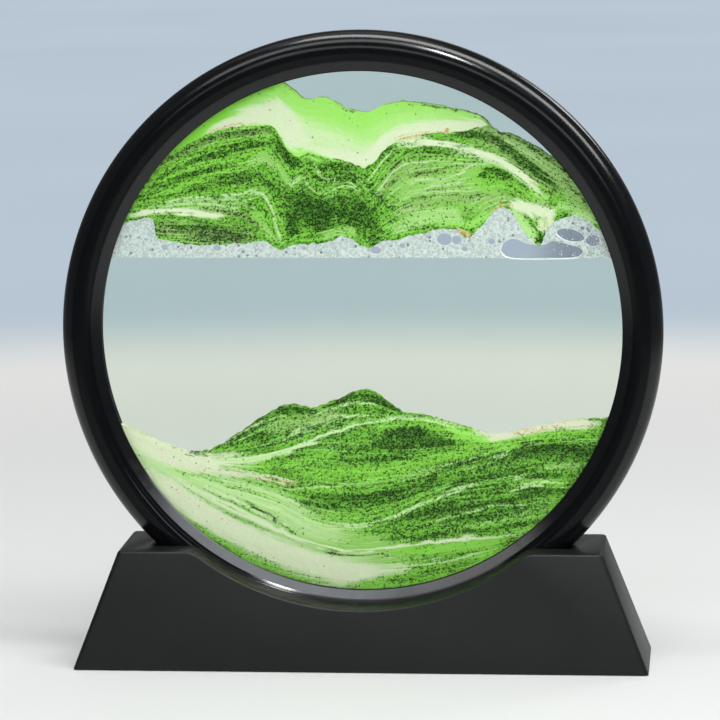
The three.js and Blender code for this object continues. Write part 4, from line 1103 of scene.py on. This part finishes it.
class SANDPIC_OT_turning_ring(Operator):
    """Turns the section of the two bezels and bores the filling port"""

    bl_idname = "sandpic.turning_ring"
    bl_label = "Turning ring"

    def execute(self, context):
        sizes = context.scene.ring_sizes
        finish = gloss_black(sizes.black)
        for name, side in (("front_bezel", -1), ("rear_bezel", 1)):
            opening = sizes.view + (sizes.rear_wider if side > 0 else 0)
            outline = [(r, side * y) for r, y in self.section(sizes, opening)]
            piece = drawn(name + "_ring", [(r, y, RING_Z) for r, y in outline])
            edit(piece)
            bpy.ops.mesh.spin(steps=sizes.segments, angle=2 * math.pi, center=(0, 0, RING_Z), axis=(0, 1, 0))
            bpy.ops.mesh.select_all(action="SELECT")
            bpy.ops.mesh.remove_doubles(threshold=2e-6)
            bpy.ops.mesh.normals_make_consistent(inside=False)
            facet = sizes.view + sizes.bevel - sizes.facet_in
            bpy.ops.mesh.select_mode(type="EDGE")
            pick(piece, "edges", lambda e: all(abs(math.hypot(v.co.x, v.co.z - RING_Z) - facet) < 1e-5
                                               for v in e.verts))
            bpy.ops.mesh.mark_sharp()
            leave()
            low = RING_Z - sizes.radius
            cut(piece, post("port", sizes.bore, low - OVERSHOOT, low + sizes.port_depth))
            complete(piece, finish, "ring", [name], angle=20)
        return {"FINISHED"}

    @staticmethod
    def section(sizes, opening):
        """Half of the ring's section as radius and depth: rim, bead, slope, facet, bevel, pocket, channel."""
        steps = 14
        bead_r = sizes.radius - sizes.bead
        slope_foot = sizes.view + sizes.bevel
        shelf = sizes.half_depth - sizes.rise
        lip_front = sizes.stack + sizes.lip
        quarter = [math.pi / 2 * i / steps for i in range(steps + 1)]
        points = [(sizes.radius - sizes.seam, 0), (sizes.radius, sizes.seam)]
        points += [(bead_r + sizes.bead * math.cos(t),
                    sizes.crown + (sizes.half_depth - sizes.crown) * math.sin(t)) for t in quarter]
        points += [(bead_r - (bead_r - slope_foot) * math.sin(t), shelf + sizes.rise * math.cos(t))
                   for t in quarter[1:10:2]]
        brink = opening + sizes.brink_in, lip_front + sizes.brink_rise
        slant = (shelf - sizes.step - brink[1]) / (slope_foot - brink[0])
        facet_in, facet_out = slope_foot - sizes.facet_in, slope_foot + sizes.facet_out
        facet_foot = brink[1] + slant * (facet_in - brink[0])
        return points + [
            (facet_out, facet_foot + (facet_out - facet_in) * math.tan(sizes.facet_lean)),
            (facet_in, facet_foot),
            brink,
            (opening, lip_front - sizes.lip_round),
            (opening, sizes.stack),
            (sizes.pocket, sizes.stack),
            (sizes.pocket, 0),
            (sizes.channel_inner, 0),
            (sizes.channel_inner, sizes.channel_depth),
            (sizes.channel_outer, sizes.channel_depth),
            (sizes.channel_outer, 0),
        ]


class SANDPIC_OT_glass_cell(Operator):
    """Gives the panes, the spacer and the seals their finishes"""

    bl_idname = "sandpic.glass_cell"
    bl_label = "Glass cell"

    def execute(self, context):
        dress(clear_sheet("pane_glass", (0.985, 0.995, 0.99), 0.003, 0.6), "front_pane", "rear_pane")
        dress(spacer_black(), "spacer_ring")
        dress(silicone(), "front_seal", "rear_seal")
        liquids = "lower_liquid", "upper_liquid"
        dress(clear_fill("still_liquid", (0.968, 0.988, 0.945)), *liquids)
        for name in liquids:
            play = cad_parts[name].modifiers.new("play", "DISPLACE")
            play.strength = -LIQUID_PLAY
            play.mid_level = 0
        return {"FINISHED"}


class SANDPIC_OT_lower_dune(Operator):
    """Lays the pale drift, the green dune and its peak"""

    bl_idname = "sandpic.lower_dune"
    bl_label = "Lower dune"

    def execute(self, context):
        for name, foot, top, slot in (
            ("lower_dune_pale_sand", over(), under(DUNE_TOP, PALE_TOP, PEAK_FOOT), "pale_sand"),
            ("lower_dune_green_sand", over(PALE_TOP), under(DUNE_TOP, PEAK_FOOT), "green_sand"),
            ("lower_dune_peak_sand", over(PEAK_FOOT), under(DUNE_TOP), "green_sand"),
        ):
            sand_bed(name, "leaf", foot, top, DUNE_STROKES, DUNE_GUIDES)
        return {"FINISHED"}


class SANDPIC_OT_upper_bank(Operator):
    """Lays the speckled bank and the lime cap over it"""

    bl_idname = "sandpic.upper_bank"
    bl_label = "Upper bank"

    def execute(self, context):
        sand_bed("upper_bank_green_sand", "leaf", over(BANK_FOOT), under(CAP_FOOT, BANK_TOP),
                 BANK_STROKES, BANK_GUIDES)
        sand_bed("upper_bank_lime_sand", "lime", over(BANK_FOOT, CAP_FOOT), under(BANK_TOP),
                 CAP_STROKES, BANK_GUIDES)
        return {"FINISHED"}


class SANDPIC_OT_bubble_raft(Operator):
    """Floats the foam under the bank and traps the large bubbles in it"""

    bl_idname = "sandpic.bubble_raft"
    bl_label = "Bubble raft"

    def execute(self, context):
        look = context.scene.sand_look
        raft = bed("foam_raft", self.foot, under(BANK_FOOT), look.pitch * 1.3, CELL_HALF - FOAM_GAP)
        outlines = [smooth(LONG_BUBBLE + LONG_BUBBLE[:1], 3)[:-1]]
        outlines += [self.ellipse(*bubble) for bubble in ROUND_BUBBLES]
        rims, airs = [], []
        for i, outline in enumerate(outlines):
            round_line = [(x * MM, RING_Z + z * MM) for x, z in outline]
            cut(raft, prism("bubble_space", round_line, 2 * CELL_HALF))
            airs.append(prism(f"air_{i}", round_line, AIR_HALF))
            rims.append(self.rim(f"rim_{i}", round_line, THICK_FILM if i < THICK_FILMS else THIN_FILM))
        settle(raft, FOAM_HOLLOW)
        complete(raft, froth(), "ring", ["bubble_raft"], angle=50)
        complete(self.joined("bubble_rims", rims), bubble_film(), "ring", angle=60)
        # The bubbles' air sheets carry a painted shade.
        complete(self.joined("bubble_air", airs), trapped_air(), "ring")
        return {"FINISHED"}

    @staticmethod
    def foot(x):
        """The foam's uneven lower edge."""
        return RAFT_FOOT + 0.5 * (ripple(x / 1.3, 0 * x + 3.5) - 0.6)

    @staticmethod
    def ellipse(x, z, half_length, half_height, tilt):
        steps = 40 if half_length > 1.5 else 20
        turn = np.arange(steps) / steps * 2 * math.pi
        tilt = math.radians(tilt)
        along, up = half_length * np.cos(turn), half_height * np.sin(turn)
        return np.c_[x + along * math.cos(tilt) - up * math.sin(tilt),
                     z + along * math.sin(tilt) + up * math.cos(tilt)]

    @staticmethod
    def rim(name, outline, radius):
        """The bubble's wall: a thin tube along its outline, stretched towards both panes."""
        piece = drawn(name, [(x, 0, z) for x, z in outline])
        alone(piece)
        bpy.ops.object.convert(target="CURVE")
        piece = bpy.context.object
        piece.data.bevel_depth = radius
        piece.data.bevel_resolution = 1
        bpy.ops.object.convert(target="MESH")
        piece = bpy.context.object
        edit(piece)
        bpy.ops.transform.resize(value=(1, 0.8 * CELL_HALF / radius, 1), center_override=(0, 0, 0))
        leave()
        return piece

    @staticmethod
    def joined(name, pieces):
        alone(pieces[0])
        for piece in pieces:
            piece.select_set(True)
        bpy.ops.object.join()
        return added(name)


class SANDPIC_OT_filling_port(Operator):
    """Gives the filling port's bush, washer and screw their finishes"""

    bl_idname = "sandpic.filling_port"
    bl_label = "Filling port"

    def execute(self, context):
        dress(turned_metal("port_brass", linear((196, 160, 88)), 0.28), "fill_port_bush")
        dress(rubber(), "fill_screw_washer")
        dress(turned_metal("screw_steel", linear((196, 198, 202)), 0.24), "fill_screw")
        return {"FINISHED"}


class SANDPIC_OT_stand(Operator):
    """Shapes the tapered base with its saddle, slot and hollow"""

    bl_idname = "sandpic.stand"
    bl_label = "Stand"

    def execute(self, context):
        sizes = context.scene.stand_sizes
        ring = context.scene.ring_sizes
        low, high = shell_low.z, shell_high.z
        slot_r, slot_half = ring.radius + sizes.slot_gap, ring.half_depth + sizes.slot_gap
        shell = self.tapered("stand_shell", sizes, low, high, 0, sizes.corner)
        deep = sizes.bottom_depth
        cut(shell, self.saddle(sizes, high, deep))
        cut(shell, bar("slot", slot_r, slot_half))
        soft = shell.modifiers.new("edges", "BEVEL")
        soft.width = sizes.edge
        soft.segments = 3
        soft.limit_method = "ANGLE"
        soft.angle_limit = math.radians(38)
        soft.use_clamp_overlap = False
        apply(shell, soft)
        edit(shell)
        bpy.ops.mesh.bisect(plane_co=(0, 0, low), plane_no=(0, 0, 1), use_fill=True, clear_inner=True)
        leave()
        hollow = self.tapered("hollow", sizes, low, high, sizes.wall, sizes.corner / 2)
        cut(hollow, bar("saddle_wall", sizes.saddle + sizes.wall, deep))
        cut(hollow, bar("trough_wall", slot_r + sizes.trough, slot_half + sizes.trough))
        cut(hollow, self.ceiling(sizes, high))
        cut(shell, hollow)
        complete(shell, matte_black(sizes.black), "base", ["base_shell"], angle=40)
        return {"FINISHED"}

    @staticmethod
    def tapered(name, sizes, low, high, inset, corner):
        """A block that tapers to the top, with round upright edges, and reaches a little under its foot."""
        head = sizes.top_length - 2 * inset, sizes.top_depth - 2 * inset
        spread = (sizes.bottom_length - sizes.top_length, sizes.bottom_depth - sizes.top_depth)
        foot = [h + s * (1 + OVERSHOOT / (high - low)) for h, s in zip(head, spread)]
        low -= OVERSHOOT
        bpy.ops.object.select_all(action="DESELECT")
        bpy.ops.mesh.primitive_cube_add(size=1, location=(0, 0, (low + high) / 2))
        block = added(name)
        edit(block)
        bpy.ops.transform.resize(value=(*foot, high - low), center_override=(0, 0, (low + high) / 2))
        pick(block, "verts", lambda v: v.co.z > 0)
        taper = head[0] / foot[0], head[1] / foot[1], 1
        bpy.ops.transform.resize(value=taper, center_override=(0, 0, high))
        bpy.ops.mesh.select_mode(type="EDGE")
        pick(block, "edges", lambda e: abs(e.verts[0].co.z - e.verts[1].co.z) > (high - low) / 2)
        bpy.ops.mesh.bevel(offset=corner, segments=5, affect="EDGES")
        leave()
        return block

    @staticmethod
    def ceiling(sizes, high):
        """What the base's roof keeps of the hollow."""
        bpy.ops.object.select_all(action="DESELECT")
        bpy.ops.mesh.primitive_cube_add(size=1, location=(0, 0, high))
        roof = added("roof")
        roof.scale = (sizes.bottom_length, sizes.bottom_depth, 2 * sizes.wall)
        return roof

    @staticmethod
    def saddle(sizes, high, deep):
        """The space over the saddle's arc, with shoulders that round over into the top face."""
        clear = 0.00001  # keeps the arc's top off the top face
        drop = RING_Z - high + sizes.shoulder - clear
        reach = sizes.saddle + sizes.shoulder
        side = math.sqrt(reach**2 - drop**2)
        lean = math.atan2(drop, side)
        over = high + 0.02
        turns = [math.pi / 2 + (lean - math.pi / 2) * i / 10 for i in range(11)]
        left = [(-side + sizes.shoulder * math.cos(t),
                 high + clear - sizes.shoulder + sizes.shoulder * math.sin(t)) for t in turns]
        sweep = [math.pi + lean + (math.pi - 2 * lean) * i / 96 for i in range(1, 96)]
        dip = [(sizes.saddle * math.cos(t), RING_Z + sizes.saddle * math.sin(t)) for t in sweep]
        right = [(-x, z) for x, z in reversed(left)]
        return prism("saddle", [(-side, over), *left, *dip, *right, (side, over)], deep)


class SANDPIC_OT_underside(Operator):
    """Gives the cover, its screws and the feet their finishes"""

    bl_idname = "sandpic.underside"
    bl_label = "Underside"

    def execute(self, context):
        corners = [f"{a}_{b}" for a in ("front", "rear") for b in ("left", "right")]
        dress(bpy.data.materials["matte_black"], "bottom_cover")
        dress(bpy.data.materials["screw_steel"], *["cover_screw_" + c for c in corners])
        dress(bpy.data.materials["black_rubber"], *["foot_" + c for c in corners])
        return {"FINISHED"}


class SANDPIC_OT_stage(Operator):
    """Sets the floor, the lamps, the sky and the camera"""

    bl_idname = "sandpic.stage"
    bl_label = "Stage"

    def execute(self, context):
        look = context.scene.stage_look
        bpy.ops.object.select_all(action="DESELECT")
        bpy.ops.mesh.primitive_circle_add(vertices=128, radius=9, fill_type="NGON")
        floor = added("floor")
        floor.data.materials.append(pale_floor(look))
        middle = Vector((0, 0, RING_Z))
        for name, at, size, tilt, lights, mirrors in (
            ("window", (0.50, -0.56, 1.48), (0.48, 2.6), 36, True, False),
            ("front", (0.06, -0.95, 0.47), (0.86, 0.16), -20, True, True),
            ("end", (-0.34, -0.95, 0.445), (0.28, 0.13), 18, False, True),
            ("ceiling", (-0.33, -0.775, 1.23), (1.1, 0.35), 21, False, True),
            ("top", (-0.3, 0.5, 2.2), (1.6, 1.6), 0, True, True),
            ("rim", (0.9, 1.3, 1.0), (0.5, 0.5), 0, True, True),
            ("strip", (0.5, -0.25, 1.5), (0.45, 2.4), 12, False, True),
            ("streak", (0.31, -0.96, 1.30), (0.12, 0.26), 0, False, True),
            ("back", (-0.15, 1.6, 0.36), (0.9, 0.25), 0, False, True),
        ):
            bpy.ops.object.light_add(type="AREA", location=at)
            lamp = bpy.context.object
            lamp.name = name + "_lamp"
            lamp.rotation_mode = "QUATERNION"
            turn = Quaternion((0, 0, 1), math.radians(tilt))
            lamp.rotation_quaternion = (middle - Vector(at)).to_track_quat("-Z", "Y") @ turn
            lamp.data.shape = "RECTANGLE"
            lamp.data.size, lamp.data.size_y = size
            lamp.data.energy = getattr(look, name)
            lamp.data.color = (0.88, 0.95, 1) if name == "front" else (1, 1, 1)
            lamp.visible_camera = False
            lamp.visible_diffuse, lamp.visible_glossy = lights, mirrors
        sky = bpy.data.worlds.new("sky")
        sky.use_nodes = True
        tree = sky.node_tree
        tree.nodes.clear()
        mirrored = node(tree, "LightPath").outputs["Is Glossy Ray"]
        light = node(tree, "Background", {
            "Color": (0.93, 0.97, 1, 1), "Strength": ramp(tree, mirrored, 0, 1, look.sky, look.room)})
        node(tree, "OutputWorld", {"Surface": light.outputs[0]})
        context.scene.world = sky
        context.scene.view_settings.view_transform = "Standard"
        context.scene.cycles.transparent_max_bounces = 24
        self.camera(context)
        return {"FINISHED"}

    @staticmethod
    def camera(context):
        """A long lens, a little above and to the right, with the photo's slight roll."""
        azimuth, elevation, away = math.radians(5.36), math.radians(7.70), 1.163
        back = Vector((math.sin(azimuth) * math.cos(elevation), -math.cos(azimuth) * math.cos(elevation),
                       math.sin(elevation)))
        stand = Vector((0, 0, RING_Z)) + back * away
        bpy.ops.object.camera_add(location=stand)
        camera = bpy.context.object
        camera.name = "photo_camera"
        look_at = Vector((-0.000556, 0, 0.091274))
        camera.rotation_mode = "QUATERNION"
        roll = Quaternion((0, 0, 1), math.radians(-0.588))
        camera.rotation_quaternion = (look_at - stand).to_track_quat("-Z", "Y") @ roll
        camera.data.lens = 194.56
        camera.data.clip_end = 50
        context.scene.camera = camera


class SANDPIC_PT_panel(Panel):
    """Sizes, colours and the steps in order"""

    bl_idname = "SANDPIC_PT_panel"
    bl_label = "Sand picture"
    bl_space_type = "VIEW_3D"
    bl_region_type = "UI"
    bl_category = "Sand picture"

    def draw(self, context):
        for group in GROUPS:
            box = self.layout.box()
            box.label(text=group.bl_rna.description)
            for key in group.__annotations__:
                box.prop(getattr(context.scene, GROUPS[group]), key)
        for step in STEPS:
            self.layout.operator(step.bl_idname)


GROUPS = {RingSizes: "ring_sizes", StandSizes: "stand_sizes", SandLook: "sand_look", StageLook: "stage_look"}
STEPS = (
    SANDPIC_OT_turning_ring,
    SANDPIC_OT_glass_cell,
    SANDPIC_OT_lower_dune,
    SANDPIC_OT_upper_bank,
    SANDPIC_OT_bubble_raft,
    SANDPIC_OT_filling_port,
    SANDPIC_OT_stand,
    SANDPIC_OT_underside,
    SANDPIC_OT_stage,
)


def register():
    for item in (*GROUPS, *STEPS, SANDPIC_PT_panel):
        bpy.utils.register_class(item)
    for group, name in GROUPS.items():
        setattr(bpy.types.Scene, name, PointerProperty(type=group))


def unregister():
    for name in GROUPS.values():
        delattr(bpy.types.Scene, name)
    for item in reversed((*GROUPS, *STEPS, SANDPIC_PT_panel)):
        bpy.utils.unregister_class(item)


def main():
    register()
    for step in STEPS:
        family, name = step.bl_idname.split(".")
        getattr(getattr(bpy.ops, family), name)()


if __name__ == "__main__":
    main()
